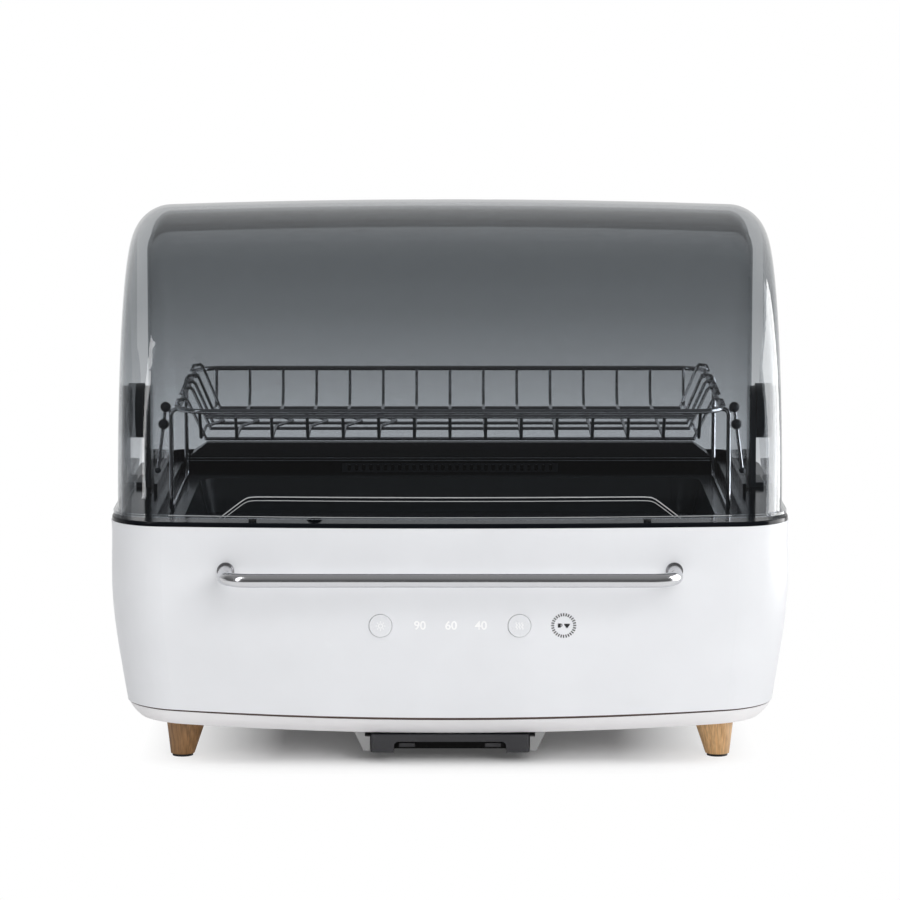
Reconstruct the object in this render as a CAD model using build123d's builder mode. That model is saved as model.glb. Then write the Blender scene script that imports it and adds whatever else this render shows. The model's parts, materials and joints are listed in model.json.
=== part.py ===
from build123d import *
from math import asin, cos, degrees, radians, sin, sqrt
import os

os.makedirs("parts", exist_ok=True)

# A counter-top dish sterilizer: a crowned white casing on four wooden feet, a black
# basin with a raised warm-air duct at the back, a two-shell smoked hood and a wire rack.
# Millimetres. X runs to the right, Y to the back, Z up, with Z = 0 on the counter and
# the origin below the middle of the whole object, towel rail included.

# ---------------------------------------------------------------- driving dimensions
body_width = 520.0
body_front = -174.0        # middle of the crowned front
body_back = 218.75
front_crown = 14.0         # how far the front bows out between its ends
corner_radius = 45.0
body_wall = 2.8
shell_top = 185.0
hull_height = 23.5         # underside of the pan at its middle
hull_rise = 10.5           # how much higher the underside is at its ends
trim_height = 36.0
trim_rise = 8.6
trim_thickness = 2.6       # at the middle, thinning to its ends
seam_rise = 6.9
trim_inset = 0.6
trim_width = 7.0

# height, how far the sides draw in, how far front and back draw in
shell_levels = [(150.0, 0.0, 0.0), (118.0, 1.0, 0.4), (87.0, 4.7, 2.0), (56.0, 9.6, 4.2), (30.0, 14.2, 6.4)]
pan_levels = [(52.0, 10.2, 4.5), (44.0, 12.4, 6.0), (36.0, 17.5, 10.0), (28.0, 27.0, 17.5), (18.0, 42.0, 29.0)]

rim_thickness = 3.5
rim_inset = 0.5
rim_front_band = 32.0      # from the front of the casing to the mouth of the basin
rim_side_band = 33.0
rim_back_band = 22.0
basin_wall = 2.0
basin_flange = 4.0
basin_flange_thickness = 1.8
basin_ledge_height = 180.0
basin_floor_height = 152.0
basin_corner = 26.0
well_side_ledge = 18.0
well_front_ledge = 8.0
well_back_ledge = 44.0
drain_radius = 5.0
drain_y = -60.0
drain_neck = 6.0           # below the basin's floor

hinge_y = 52.0             # the hood turns about this axis
hinge_z = 248.0
hood_inset = 5.0           # between the sides of the casing and of the hood
hood_top = 418.0
hood_reach = 216.0         # from the hinge axis to the front of the lid
hood_wall = 2.5
hood_front_crown = 17.0
hood_top_crown = 5.0
hood_edge_radius = 32.0
lid_bottom = 190.5
lid_springing = 190.0      # height at which the lid's front stands upright
lid_rear_angle = 8.0       # past the top, where the lid ends
lid_lobe_radius = 50.0
lid_lip = 3.5
lid_lip_thickness = 2.0
grip_bottom_width = 350.0
grip_top_width = 308.0
grip_height = 17.0
grip_relief = 1.6

cover_side_gap = 17.0      # between the sides of the hood and of the cover inside it
cover_gap = 2.5            # between the lid and the cover inside it
cover_front = -4.0
cover_edge_radius = 16.0
cover_bead_width = 4.0
cover_bead_relief = 1.0
cover_rib_height = 7.5
cover_rib_thickness = 2.5

hinge_disc_radius = 22.0
hinge_pin_radius = 4.0
hinge_running_gap = 0.05
hinge_post_thickness = 6.0
hinge_post_top = 20.0
hinge_post_width = 46.0
hinge_post_gap = 1.5       # between the cover and the post beside it
hinge_base_thickness = 4.0

foot_side_inset = 56.7     # from the faces of the casing to the middle of a foot
foot_front_inset = 59.0
foot_back_inset = 60.75
foot_top_radius = 16.7
foot_bottom_radius = 9.25
foot_splay = 3.5
foot_pad_thickness = 2.0
foot_pad_radius = 8.0
foot_bolt_radius = 3.0
foot_bolt_end = 14.0       # height at which a bolt ends inside its foot
bolt_head_radius = 5.5
bolt_head_height = 4.0
foot_boss_radius = 11.0

rail_diameter = 10.5
rail_length = 350.5
rail_height = 152.0
rail_standoff = 42.0
rail_bend_radius = 20.0
rail_collar_radius = 6.6
rail_collar_thickness = 2.6
rail_nut_thickness = 5.0
rail_nut_width = 17.0

button_x = 52.7
button_height = 110.5
button_radius = 8.7
button_travel = 1.2
button_proud = 0.4
button_flange = 1.6
board_half_width = 100.0
board_bottom = 90.0
board_top = 132.0
board_y = -160.0           # front of the control board
board_thickness = 1.6
board_post_x = 92.0
board_post_heights = (97.0, 125.0)
board_post_radius = 3.5
tact_height = 4.3
tact_width = 6.0
tact_stem = 0.8
tact_stem_radius = 1.7

switch_x = -103.0
switch_inset = 21.5
switch_radius = 6.0
switch_rise = 3.0
switch_travel = 2.5
switch_stem_length = 4.0
switch_stem_radius = 2.5
switch_body_width = 20.0
switch_body_depth = 9.0
switch_body_height = 11.0
switch_bracket = 4.0

tray_width = 122.0
tray_front = -153.0
tray_depth = 150.0
tray_bottom = 8.6
tray_top = 22.6
tray_wall = 1.8
tray_corner = 4.0
tray_flange = 4.0
tray_flange_thickness = 1.8
tray_grip_width = 86.0
tray_grip_height = 8.4
tray_grip_depth = 16.0
tray_rail_foot = 5.0
tray_rail_top = 12.5
tray_rail_setback = 3.0    # behind the face of the tray
tray_recess_radius = 3.5

fan_y = 160.0              # front of the fan housing
fan_end_play = 3.0         # between the housing and the impeller
fan_height = 96.0
fan_depth = 36.0
fan_wall = 1.8
scroll_radius = 50.0
impeller_radius = 42.0
impeller_eye = 30.0
impeller_depth = 24.0
blade_count = 24
blade_thickness = 1.2
blade_chord = 10.0
blade_inset = 6.0
blade_lean = 35.0
impeller_plate = 1.5
impeller_ring = 2.0
motor_radius = 20.0
motor_length = 26.0
fan_shaft_radius = 2.5
shaft_inset = 2.0          # from the end of the motor
duct_half_width = 40.0

rack_side_gap = 16.0       # between the mouth of the basin and the middle of the rim wire
rack_rim_corner = 22.0
rack_front_y = -89.0
rack_back_y = 163.0
rack_front_height = 264.0
rack_back_height = 270.0
rack_bottom_height = 241.0
rack_wire_radius = 1.3
rack_rim_radius = 2.0
rack_second_rail_drop = 3.9
rack_second_rail_radius = 1.7
rack_kink_height = 252.0
rack_back_slant = 12.0
rack_front_slant = 20.0
cross_wire_count = 15
cross_wire_end_gap = 17.1  # from the side of the rim to the first cross wire
long_wire_places = [150.0, 88.0, 46.0, 11.0, -54.0]
divider_count = 6
divider_offset = 12.0

frame_wire_radius = 1.8
frame_side_gap = 8.6
frame_front_y = -46.0
frame_back_y = 145.0
frame_hook = 11.0
frame_bend_radius = 5.0
stay_wire_radius = 1.35
stay_bend_radius = 1.6
stay_foot_drop = 6.0
stay_top = 268.0
stay_bottom = 212.0
stay_spread = 11.0
ball_radius = 4.2
end_ball_radius = 2.5
ball_heights = (262.0, 248.5)

intake_width = 110.0
intake_height = 62.0
gland_side_inset = 70.0
gland_height = 66.0
gland_radius = 7.0
gland_flange = 3.0
gland_flange_depth = 2.5
gland_neck = 14.0
gland_bore_radius = 3.6

clearance = 0.3            # between pieces that move past each other
screw_radius = 2.0
screw_depth = 12.0         # into the columns
screw_head_height = 2.5
screw_sink = 1.5           # from the underside of the pan to a screw's head

# ---------------------------------------------------------------- worked-out places
half_body = body_width / 2
rim_top = shell_top + rim_thickness
hood_half_width = half_body - hood_inset
cover_half_width = hood_half_width - cover_side_gap
lid_radius = hood_top - hinge_z
cover_radius = lid_radius - hood_wall - cover_gap
mouth_half_width = half_body - rim_side_band
rack_rim_x = mouth_half_width - rack_side_gap
frame_x = mouth_half_width - frame_side_gap
cross_wire_pitch = 2 * (rack_rim_x - cross_wire_end_gap) / (cross_wire_count - 1)
foot_x = half_body - foot_side_inset
foot_front_y = body_front + foot_front_inset
foot_back_y = body_back - foot_back_inset
gland_x = half_body - gland_side_inset
mouth_front = body_front + rim_front_band
mouth_back = body_back - rim_back_band
mouth_middle_y = (mouth_front + mouth_back) / 2
rail_leg_x = (rail_length - rail_diameter) / 2
rail_y = body_front - rail_standoff
front_radius = (half_body**2 + front_crown**2) / (2 * front_crown)
ledge_thickness = 4.0
column_foot = 50.0
column_inset = 28.0
column_rows = (-95.0, 25.0, 140.0)
column_x = half_body - column_inset
column_places = [(side * column_x, y) for side in (-1, 1) for y in column_rows]
foot_places = {
    "foot_front_left": (-1, foot_front_y, -1),
    "foot_front_right": (1, foot_front_y, -1),
    "foot_rear_left": (-1, foot_back_y, 1),
    "foot_rear_right": (1, foot_back_y, 1),
}


def front_at(x):
    """Y of the bowed front face at a distance x from the middle."""
    return body_front + front_radius - sqrt(front_radius**2 - x**2)


def hull_at(x):
    """Height of the pan's underside at a distance x from the middle."""
    return hull_height + hull_rise * (x / half_body) ** 2


def top_drop(x):
    """How much lower the hood's crown is at a distance x from the middle."""
    return hood_top_crown * (x / hood_half_width) ** 2


def casing_outline(side_inset, front_inset, height):
    """Plan of the casing at one height: bowed front, straight sides and back, round corners."""
    half = half_body - side_inset
    front = body_front + front_inset
    back = body_back - front_inset
    with BuildSketch(Plane.XY.offset(height)) as outline:
        with BuildLine():
            bow = ThreePointArc((-half, front + front_crown), (0, front), (half, front + front_crown))
            Polyline(bow @ 1, (half, back), (-half, back), bow @ 0)
        make_face()
        fillet(outline.vertices(), radius=corner_radius - (side_inset + front_inset) / 4)
    return outline.sketch


def casing_form(levels, inset):
    """A part of the casing as a solid block, drawn in by inset all round."""
    sections = [casing_outline(side + inset, front + inset, height) for height, side, front in levels]
    with BuildPart() as form:
        loft(sections)
    return form.part


def above_smile(middle_height, rise):
    """Everything above a gentle arc that lifts from the middle to both ends, as a block along Y."""
    reach = half_body + corner_radius
    lift = middle_height + rise * (reach / half_body) ** 2
    ceiling = shell_top + body_wall
    with BuildPart() as block:
        with BuildSketch(Plane.XZ):
            with BuildLine():
                arc = ThreePointArc((-reach, lift), (0, middle_height), (reach, lift))
                Polyline(arc @ 1, (reach, ceiling), (-reach, ceiling), arc @ 0)
            make_face()
        extrude(amount=body_width, both=True)
    return block.part


def slab(low, high):
    """A flat layer of space between two heights."""
    with BuildPart() as layer:
        with BuildSketch(Plane.XY.offset(low)):
            Rectangle(2 * body_width, 2 * body_width)
        extrude(amount=high - low)
    return layer.part


def mouth_outline(grow, height):
    """Plan of the basin's mouth at one height, grown by grow all round."""
    with BuildSketch(Plane.XY.offset(height)) as mouth:
        with Locations((0, mouth_middle_y)):
            Rectangle(2 * (mouth_half_width + grow), mouth_back - mouth_front + 2 * grow)
        fillet(mouth.vertices(), radius=basin_corner + grow)
    return mouth.sketch


above_hull = above_smile(hull_height, hull_rise)
above_hull_floor = above_smile(hull_height + body_wall, hull_rise)
above_trim = above_smile(trim_height, trim_rise)
above_seam = above_smile(trim_height + trim_thickness, seam_rise)
shell_levels.insert(0, (shell_top, 0.0, 0.0))
shell_block = casing_form(shell_levels, 0.0)
shell_hollow = casing_form(shell_levels, body_wall)
pan_block = casing_form(pan_levels, 0.0)

# ---------------------------------------------------------------- casing
with BuildPart() as shell_fittings:
    # ledge that carries the rim
    add(casing_outline(body_wall / 2, body_wall / 2, shell_top - ledge_thickness))
    extrude(amount=ledge_thickness)
    add(mouth_outline(0.0, shell_top - ledge_thickness))
    extrude(amount=ledge_thickness, mode=Mode.SUBTRACT)
    # screw columns for the pan
    with BuildSketch(Plane.XY.offset(column_foot)):
        with Locations(*column_places):
            Circle(2.5 * screw_radius)
    extrude(amount=shell_top - ledge_thickness - column_foot)
    # posts for the control board
    with BuildSketch(Plane.XZ.offset(-board_y)):
        with Locations(*[(side * board_post_x, height) for side in (-1, 1) for height in board_post_heights]):
            Circle(board_post_radius)
    extrude(amount=board_y - front_at(board_post_x) - body_wall / 2)

with BuildPart() as shell_openings:
    with BuildSketch(Plane.XY.offset(column_foot)):
        with Locations(*column_places):
            Circle(screw_radius)
    extrude(amount=screw_depth + 2.0)
    # towel rail and buttons, through the front
    with BuildSketch(Plane.XZ.offset(-board_y)):
        with Locations((-rail_leg_x, rail_height), (rail_leg_x, rail_height)):
            Circle(rail_diameter / 2)
        with Locations((-button_x, button_height), (button_x, button_height)):
            Circle(button_radius + clearance)
    extrude(amount=2 * front_crown)
    # lid switch, through the ledge
    with BuildSketch(Plane.XY.offset(shell_top)):
        with Locations((switch_x, body_front + switch_inset)):
            Circle(switch_radius + clearance)
    extrude(amount=-ledge_thickness)
    # air intake and cord gland, through the back
    with BuildSketch(Plane.XZ.offset(-body_back)):
        with Locations((0, fan_height)):
            RectangleRounded(intake_width, intake_height, 8.0)
        with Locations((gland_x, gland_height)):
            Circle(gland_radius)
    extrude(amount=3 * body_wall, both=True)

with BuildPart() as body_shell:
    add(shell_block)
    add(shell_hollow, mode=Mode.SUBTRACT)
    add(above_seam, mode=Mode.INTERSECT)
    add(shell_fittings.part)
    add(shell_openings.part, mode=Mode.SUBTRACT)
body_shell.part.label = "body_shell"
export_step(body_shell.part, "parts/body_shell.step")

with BuildPart() as seam_trim:
    add(casing_form(pan_levels, trim_inset))
    add(casing_form(pan_levels, trim_width), mode=Mode.SUBTRACT)
    add(above_trim, mode=Mode.INTERSECT)
    add(above_seam, mode=Mode.SUBTRACT)
seam_trim.part.label = "seam_trim"
export_step(seam_trim.part, "parts/seam_trim.step")

pan_post_radius = 6.5
screw_seat = hull_at(column_x) + screw_sink + screw_head_height
pan_boss_top = 38.0
power_board_x = (86.0, 186.0)
power_board_y = (10.0, 80.0)
power_board_height = 48.0
power_post_inset = 6.0
power_post_places = [
    (x + dx, y + dy)
    for x, dx in zip(power_board_x, (power_post_inset, -power_post_inset))
    for y, dy in zip(power_board_y, (power_post_inset, -power_post_inset))
]
bolt_places = [(side * foot_x, y) for side, y, out in foot_places.values()]

with BuildPart() as pan_fittings:
    with BuildSketch(Plane.XY.offset(hull_height)):
        with Locations(*column_places):
            Circle(pan_post_radius)
    extrude(amount=column_foot - hull_height)
    with BuildSketch(Plane.XY.offset(hull_height)):
        with Locations(*bolt_places):
            Circle(foot_boss_radius)
    extrude(amount=pan_boss_top - hull_height)
    with BuildSketch(Plane.XY.offset(hull_height + body_wall / 2)):
        with Locations(*power_post_places):
            Circle(board_post_radius)
    extrude(amount=power_board_height - hull_height - body_wall / 2)
    add(pan_block, mode=Mode.INTERSECT)

with BuildPart() as pan_openings:
    with BuildSketch(Plane.XY):
        with Locations(*column_places):
            Circle(screw_radius + 0.1)
        with Locations(*bolt_places):
            Circle(foot_bolt_radius)
        with Locations((0, drain_y)):
            Circle(drain_radius + basin_wall + 1.0 + clearance)
    extrude(amount=column_foot)
    with BuildSketch(Plane.XY):
        with Locations(*column_places):
            Circle(2 * screw_radius)
    extrude(amount=screw_seat)

with BuildPart() as pan_hollow:
    add(casing_form(pan_levels, body_wall))
    add(above_hull_floor, mode=Mode.INTERSECT)

with BuildPart() as bottom_pan:
    add(pan_block)
    add(above_trim, mode=Mode.SUBTRACT)
    add(pan_hollow.part, mode=Mode.SUBTRACT)
    add(pan_fittings.part)
    add(above_hull, mode=Mode.INTERSECT)
    add(pan_openings.part, mode=Mode.SUBTRACT)
bottom_pan.part.label = "bottom_pan"
export_step(bottom_pan.part, "parts/bottom_pan.step")

with BuildPart() as pan_screws:
    with BuildSketch(Plane.XY.offset(screw_seat - screw_head_height)):
        with Locations(*column_places):
            Circle(1.8 * screw_radius)
    extrude(amount=screw_head_height)
    with BuildSketch(Plane.XY.offset(screw_seat)):
        with Locations(*column_places):
            Circle(screw_radius)
    extrude(amount=column_foot + screw_depth - screw_seat)
pan_screws.part.label = "pan_screws"
export_step(pan_screws.part, "parts/pan_screws.step")

# ---------------------------------------------------------------- feet
foot_top = hull_at(half_body)


def wooden_foot(side, y, out):
    """A tapered foot that leans outwards, cut to the curve of the pan above it."""
    with BuildPart() as leg:
        with BuildSketch(Plane.XY.offset(foot_pad_thickness)):
            with Locations((side * (foot_x + foot_splay), y + out * foot_splay)):
                Circle(foot_bottom_radius)
        with BuildSketch(Plane.XY.offset(foot_top)):
            with Locations((side * foot_x, y)):
                Circle(foot_top_radius)
        loft(ruled=True)
        add(above_hull, mode=Mode.SUBTRACT)
        with BuildSketch(Plane.XY.offset(pan_boss_top)):
            with Locations((side * foot_x, y)):
                Circle(foot_bolt_radius)
        extrude(amount=foot_bolt_end - pan_boss_top, mode=Mode.SUBTRACT)
    return leg.part


for name, place in foot_places.items():
    leg = wooden_foot(*place)
    leg.label = name
    export_step(leg, f"parts/{name}.step")

with BuildPart() as foot_pads:
    with BuildSketch():
        with Locations(*[(side * (foot_x + foot_splay), y + out * foot_splay) for side, y, out in foot_places.values()]):
            Circle(foot_pad_radius)
    extrude(amount=foot_pad_thickness)
foot_pads.part.label = "foot_pads"
export_step(foot_pads.part, "parts/foot_pads.step")

with BuildPart() as foot_bolts:
    with BuildSketch(Plane.XY.offset(pan_boss_top)):
        with Locations(*bolt_places):
            RegularPolygon(bolt_head_radius, 6)
    extrude(amount=bolt_head_height)
    with BuildSketch(Plane.XY.offset(foot_bolt_end)):
        with Locations(*bolt_places):
            Circle(foot_bolt_radius)
    extrude(amount=pan_boss_top - foot_bolt_end)
foot_bolts.part.label = "foot_bolts"
export_step(foot_bolts.part, "parts/foot_bolts.step")

# ---------------------------------------------------------------- rim and basin
def cover_form(inset, front=cover_front, bottom=rim_top):
    """The rear cover as a solid block: upright back, round top, cut off square in front."""
    half = cover_half_width - inset
    sections = []
    for x in (-half, 0.0, half):
        radius = cover_radius - top_drop(x) - inset
        front_top = hinge_z + sqrt(radius**2 - (hinge_y - front) ** 2)
        middle = ((hinge_y - front) / radius)
        crown_angle = radians((degrees(asin(middle)) - 90.0) / 2)
        crown = (hinge_y - radius * sin(crown_angle), hinge_z + radius * cos(crown_angle))
        with BuildSketch(Plane.YZ.offset(x)) as section:
            with BuildLine():
                arc = ThreePointArc((front, front_top), crown, (hinge_y + radius, hinge_z))
                Polyline(arc @ 1, (hinge_y + radius, bottom), (front, bottom), arc @ 0)
            make_face()
        sections.append(section.sketch)
    with BuildPart() as form:
        loft(sections)
        ends = form.faces().filter_by(Axis.X).edges()
        round_edges = ends.filter_by(lambda e: e.center().Z > bottom + 1 and e.center().Y > front + 1)
        fillet(round_edges, radius=cover_edge_radius - inset)
    return form.part


cover_fit = hood_wall + clearance / 2

with BuildPart() as cover_rib:
    add(cover_form(cover_fit))
    add(cover_form(cover_fit + cover_rib_thickness, front=cover_front - 2 * cover_bead_width), mode=Mode.SUBTRACT)
    add(slab(rim_top, rim_top + cover_rib_height), mode=Mode.INTERSECT)

with BuildPart() as rim_frame:
    add(casing_outline(rim_inset, rim_inset, shell_top))
    extrude(amount=rim_thickness)
    fillet(rim_frame.faces().sort_by(Axis.Z)[-1].edges(), radius=1.2)
    add(mouth_outline(0.0, shell_top))
    extrude(amount=rim_thickness, mode=Mode.SUBTRACT)
    add(mouth_outline(basin_flange, rim_top - basin_flange_thickness))
    extrude(amount=basin_flange_thickness, mode=Mode.SUBTRACT)
    add(cover_rib.part)
    with BuildSketch(Plane.XY.offset(shell_top)):
        with Locations((switch_x, body_front + switch_inset)):
            Circle(switch_radius + clearance)
    extrude(amount=rim_thickness, mode=Mode.SUBTRACT)
rim_frame.part.label = "rim_frame"
export_step(rim_frame.part, "parts/rim_frame.step")


def well_outline(inset, height):
    """Plan of the deep middle of the basin, inside its ledges."""
    front = mouth_front + well_front_ledge + inset
    back = mouth_back - well_back_ledge - inset
    with BuildSketch(Plane.XY.offset(height)) as well:
        with Locations((0, (front + back) / 2)):
            Rectangle(2 * (mouth_half_width - well_side_ledge - inset), back - front)
        fillet(well.vertices(), radius=basin_corner - inset)
    return well.sketch


basin_top = rim_top
fan_middle_y = fan_y + fan_depth / 2
air_hole_margin = 3.0
air_hole_width = 2 * (duct_half_width - air_hole_margin)
air_hole_depth = fan_depth / 2
well_slope = 6.0

with BuildPart() as basin:
    # flange, upright wall and ledge
    add(mouth_outline(basin_flange - clearance, basin_top - basin_flange_thickness))
    extrude(amount=basin_flange_thickness)
    add(mouth_outline(-clearance, basin_ledge_height - basin_wall))
    extrude(amount=basin_top - basin_ledge_height + basin_wall)
    # the well, with sloping sides
    loft([well_outline(0.0, basin_ledge_height - basin_wall / 2),
          well_outline(well_slope, basin_floor_height - basin_wall)])
    with BuildSketch(Plane.XY.offset(basin_floor_height - basin_wall)):
        with Locations((0, drain_y)):
            Circle(drain_radius + basin_wall)
    extrude(amount=-drain_neck)
    add(mouth_outline(-clearance - basin_wall, basin_ledge_height))
    extrude(amount=basin_top - basin_ledge_height, mode=Mode.SUBTRACT)
    loft([well_outline(basin_wall, basin_ledge_height), well_outline(well_slope + basin_wall, basin_floor_height)],
         mode=Mode.SUBTRACT)
    with BuildSketch(Plane.XY.offset(basin_floor_height)):
        with Locations((0, drain_y)):
            Circle(drain_radius)
    extrude(amount=-basin_wall - drain_neck, mode=Mode.SUBTRACT)
    # the way up for the warm air
    with BuildSketch(Plane.XY.offset(basin_ledge_height)):
        with Locations((0, fan_middle_y)):
            Rectangle(air_hole_width, air_hole_depth)
    extrude(amount=-basin_wall, mode=Mode.SUBTRACT)
basin.part.label = "basin"
export_step(basin.part, "parts/basin.step")

with BuildPart() as drain_spout:
    with BuildSketch(Plane.XY.offset(basin_floor_height - basin_wall - drain_neck)):
        with Locations((0, drain_y)):
            Circle(drain_radius + basin_wall)
            Circle(drain_radius, mode=Mode.SUBTRACT)
    extrude(amount=hull_height - basin_floor_height + basin_wall + drain_neck)
drain_spout.part.label = "drain_spout"
export_step(drain_spout.part, "parts/drain_spout.step")

# ---------------------------------------------------------------- warm-air duct behind the dishes
duct_front = 166.0
duct_back = 206.5
duct_shoulder = 192.0
duct_top = 204.0
duct_slope_back = 191.0
duct_side_gap = 5.0
duct_end_slope = 18.0
duct_half_bottom = mouth_half_width - duct_side_gap
duct_half_top = duct_half_bottom - duct_end_slope
duct_wall = 2.0
lamp_radius = 5.0
lamp_half_length = 100.0
lamp_holder_length = 8.0
lamp_y = 187.0
lamp_height = 190.5
window_width = 212.0
window_depth = 15.0
grille_width = 180.0
grille_height = 7.6
slot_pitch = 6.0
slot_width = 3.2


def outside_mouth(grow):
    """The space around the basin's mouth, from its ledge up to the rim."""
    with BuildPart() as around:
        add(slab(basin_ledge_height, basin_top))
        add(mouth_outline(grow, basin_ledge_height))
        extrude(amount=basin_top - basin_ledge_height, mode=Mode.SUBTRACT)
    return around.part


def duct_form(inset):
    """The duct as a solid block: sloped front, flat top, shoulders falling to both ends."""
    back_step = mouth_back - basin_wall - 2 * clearance - inset
    with BuildPart() as block:
        with BuildSketch(Plane.YZ):
            with BuildLine():
                Polyline(
                    (duct_front + inset, basin_ledge_height),
                    (duct_front + inset, duct_shoulder - inset / 2),
                    (duct_slope_back + inset / 2, duct_top - inset),
                    (duct_back - inset, duct_top - inset),
                    (duct_back - inset, basin_top),
                    (back_step, basin_top),
                    (back_step, basin_ledge_height),
                    close=True,
                )
            make_face()
        extrude(amount=duct_half_bottom, both=True)
        with BuildSketch(Plane.XZ):
            with BuildLine():
                Polyline(
                    (-duct_half_bottom + inset, basin_ledge_height),
                    (-duct_half_bottom + inset, duct_shoulder - inset),
                    (-duct_half_top + inset, duct_top),
                    (duct_half_top - inset, duct_top),
                    (duct_half_bottom - inset, duct_shoulder - inset),
                    (duct_half_bottom - inset, basin_ledge_height),
                    close=True,
                )
            make_face()
        extrude(amount=2 * body_back, both=True, mode=Mode.INTERSECT)
        # corners drawn in where the duct dips into the rounded basin
        add(outside_mouth(-basin_wall - 2 * clearance - inset), mode=Mode.SUBTRACT)
    return block.part


slope = Vector(0, duct_slope_back - duct_front, duct_top - duct_shoulder)
window_plane = Plane(
    origin=(0, (duct_front + duct_slope_back) / 2, (duct_shoulder + duct_top) / 2),
    x_dir=(1, 0, 0),
    z_dir=Vector(1, 0, 0).cross(slope),
)
grille_plane = Plane(origin=(0, duct_front, (basin_ledge_height + duct_shoulder) / 2), x_dir=(1, 0, 0), z_dir=(0, -1, 0))

with BuildPart() as duct_housing:
    add(duct_form(0.0))
    fillet(duct_housing.edges().filter_by(Axis.X).group_by(Axis.Z)[-1], radius=3.0)
    add(duct_form(duct_wall), mode=Mode.SUBTRACT)
    with BuildSketch(window_plane):
        Rectangle(window_width, window_depth)
    with BuildSketch(grille_plane):
        Rectangle(grille_width, grille_height)
    extrude(amount=-2 * duct_wall, mode=Mode.SUBTRACT)
duct_housing.part.label = "duct_housing"
export_step(duct_housing.part, "parts/duct_housing.step")

with BuildPart() as lamp_window:
    with BuildSketch(window_plane):
        Rectangle(window_width, window_depth)
    extrude(amount=-0.8 * duct_wall)
lamp_window.part.label = "lamp_window"
export_step(lamp_window.part, "parts/lamp_window.step")

with BuildPart() as outlet_grille:
    with BuildSketch(grille_plane):
        Rectangle(grille_width, grille_height)
        with GridLocations(slot_pitch, 1, int(grille_width / slot_pitch) - 1, 1):
            SlotOverall(grille_height - 2.0, slot_width, rotation=90, mode=Mode.SUBTRACT)
    extrude(amount=-duct_wall)
outlet_grille.part.label = "outlet_grille"
export_step(outlet_grille.part, "parts/outlet_grille.step")

with BuildPart() as uv_lamp:
    with BuildSketch(Plane.YZ.offset(-lamp_half_length)):
        with Locations((lamp_y, lamp_height)):
            Circle(lamp_radius)
    extrude(amount=2 * lamp_half_length)
uv_lamp.part.label = "uv_lamp"
export_step(uv_lamp.part, "parts/uv_lamp.step")

with BuildPart() as lamp_holders:
    for side in (-1, 1):
        with BuildSketch(Plane.YZ.offset(side * lamp_half_length)):
            with Locations((lamp_y, (basin_ledge_height + lamp_height + lamp_radius) / 2)):
                Rectangle(2 * lamp_radius, lamp_height + lamp_radius - basin_ledge_height)
        extrude(amount=side * lamp_holder_length)
lamp_holders.part.label = "lamp_holders"
export_step(lamp_holders.part, "parts/lamp_holders.step")

# ---------------------------------------------------------------- fan and heater below the duct
fan_back = fan_y + fan_depth
duct_bottom = fan_height
duct_mouth = basin_ledge_height - basin_wall
heater_height = 152.0
heater_thickness = 13.0
heater_frame_wall = 2.0
heater_core_inset = 1.0
fin_count = 15
fin_gap = 3.2
fin_end = 1.5
thermostat_radius = 8.0
thermostat_drop = 12.0
thermostat_depth = 6.0


def scroll_form(inset):
    """Round fan chamber with its square duct going up, drawn in by inset all round."""
    with BuildPart() as chamber:
        with BuildSketch(Plane.XZ.offset(-fan_y - inset)):
            with Locations((0, fan_height)):
                Circle(scroll_radius - inset)
            with Locations((0, (duct_bottom + duct_mouth) / 2)):
                Rectangle(2 * (duct_half_width - inset), duct_mouth - duct_bottom)
        extrude(amount=-(fan_depth - 2 * inset))
    return chamber.part


with BuildPart() as fan_housing:
    add(scroll_form(0.0))
    add(scroll_form(fan_wall), mode=Mode.SUBTRACT)
    # air inlet at the back, motor hole in front
    with BuildSketch(Plane.XZ.offset(-fan_back + fan_wall)):
        with Locations((0, fan_height)):
            Circle(impeller_eye)
    extrude(amount=-fan_wall, mode=Mode.SUBTRACT)
    with BuildSketch(Plane.XZ.offset(-fan_y)):
        with Locations((0, fan_height)):
            Circle(2.5 * fan_shaft_radius)
    extrude(amount=-fan_wall, mode=Mode.SUBTRACT)
fan_housing.part.label = "fan_housing"
export_step(fan_housing.part, "parts/fan_housing.step")

with BuildPart() as fan_motor:
    with BuildSketch(Plane.XZ.offset(-fan_y)):
        with Locations((0, fan_height)):
            Circle(motor_radius)
            Circle(fan_shaft_radius + hinge_running_gap, mode=Mode.SUBTRACT)
    extrude(amount=motor_length)
fan_motor.part.label = "fan_motor"
export_step(fan_motor.part, "parts/fan_motor.step")

impeller_front = fan_y + fan_wall + fan_end_play

with BuildPart() as impeller:
    # back plate and hub
    with BuildSketch(Plane.XZ.offset(-impeller_front)):
        with Locations((0, fan_height)):
            Circle(impeller_radius)
            Circle(fan_shaft_radius, mode=Mode.SUBTRACT)
    extrude(amount=-impeller_plate)
    with BuildSketch(Plane.XZ.offset(-impeller_front)):
        with Locations((0, fan_height)):
            Circle(3 * fan_shaft_radius)
            Circle(fan_shaft_radius, mode=Mode.SUBTRACT)
    extrude(amount=-impeller_depth / 2)
    # forward-leaning blades and the ring that ties their tips
    with BuildSketch(Plane.XZ.offset(-impeller_front)):
        with Locations((0, fan_height)):
            with PolarLocations(impeller_radius - blade_inset, blade_count):
                Rectangle(blade_chord, blade_thickness, rotation=blade_lean)
    extrude(amount=-impeller_depth)
    with BuildSketch(Plane.XZ.offset(-impeller_front - impeller_depth + impeller_ring)):
        with Locations((0, fan_height)):
            Circle(impeller_radius)
            Circle(impeller_radius - 2 * impeller_ring, mode=Mode.SUBTRACT)
    extrude(amount=-impeller_ring)
impeller.part.label = "impeller"
export_step(impeller.part, "parts/impeller.step")

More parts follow.
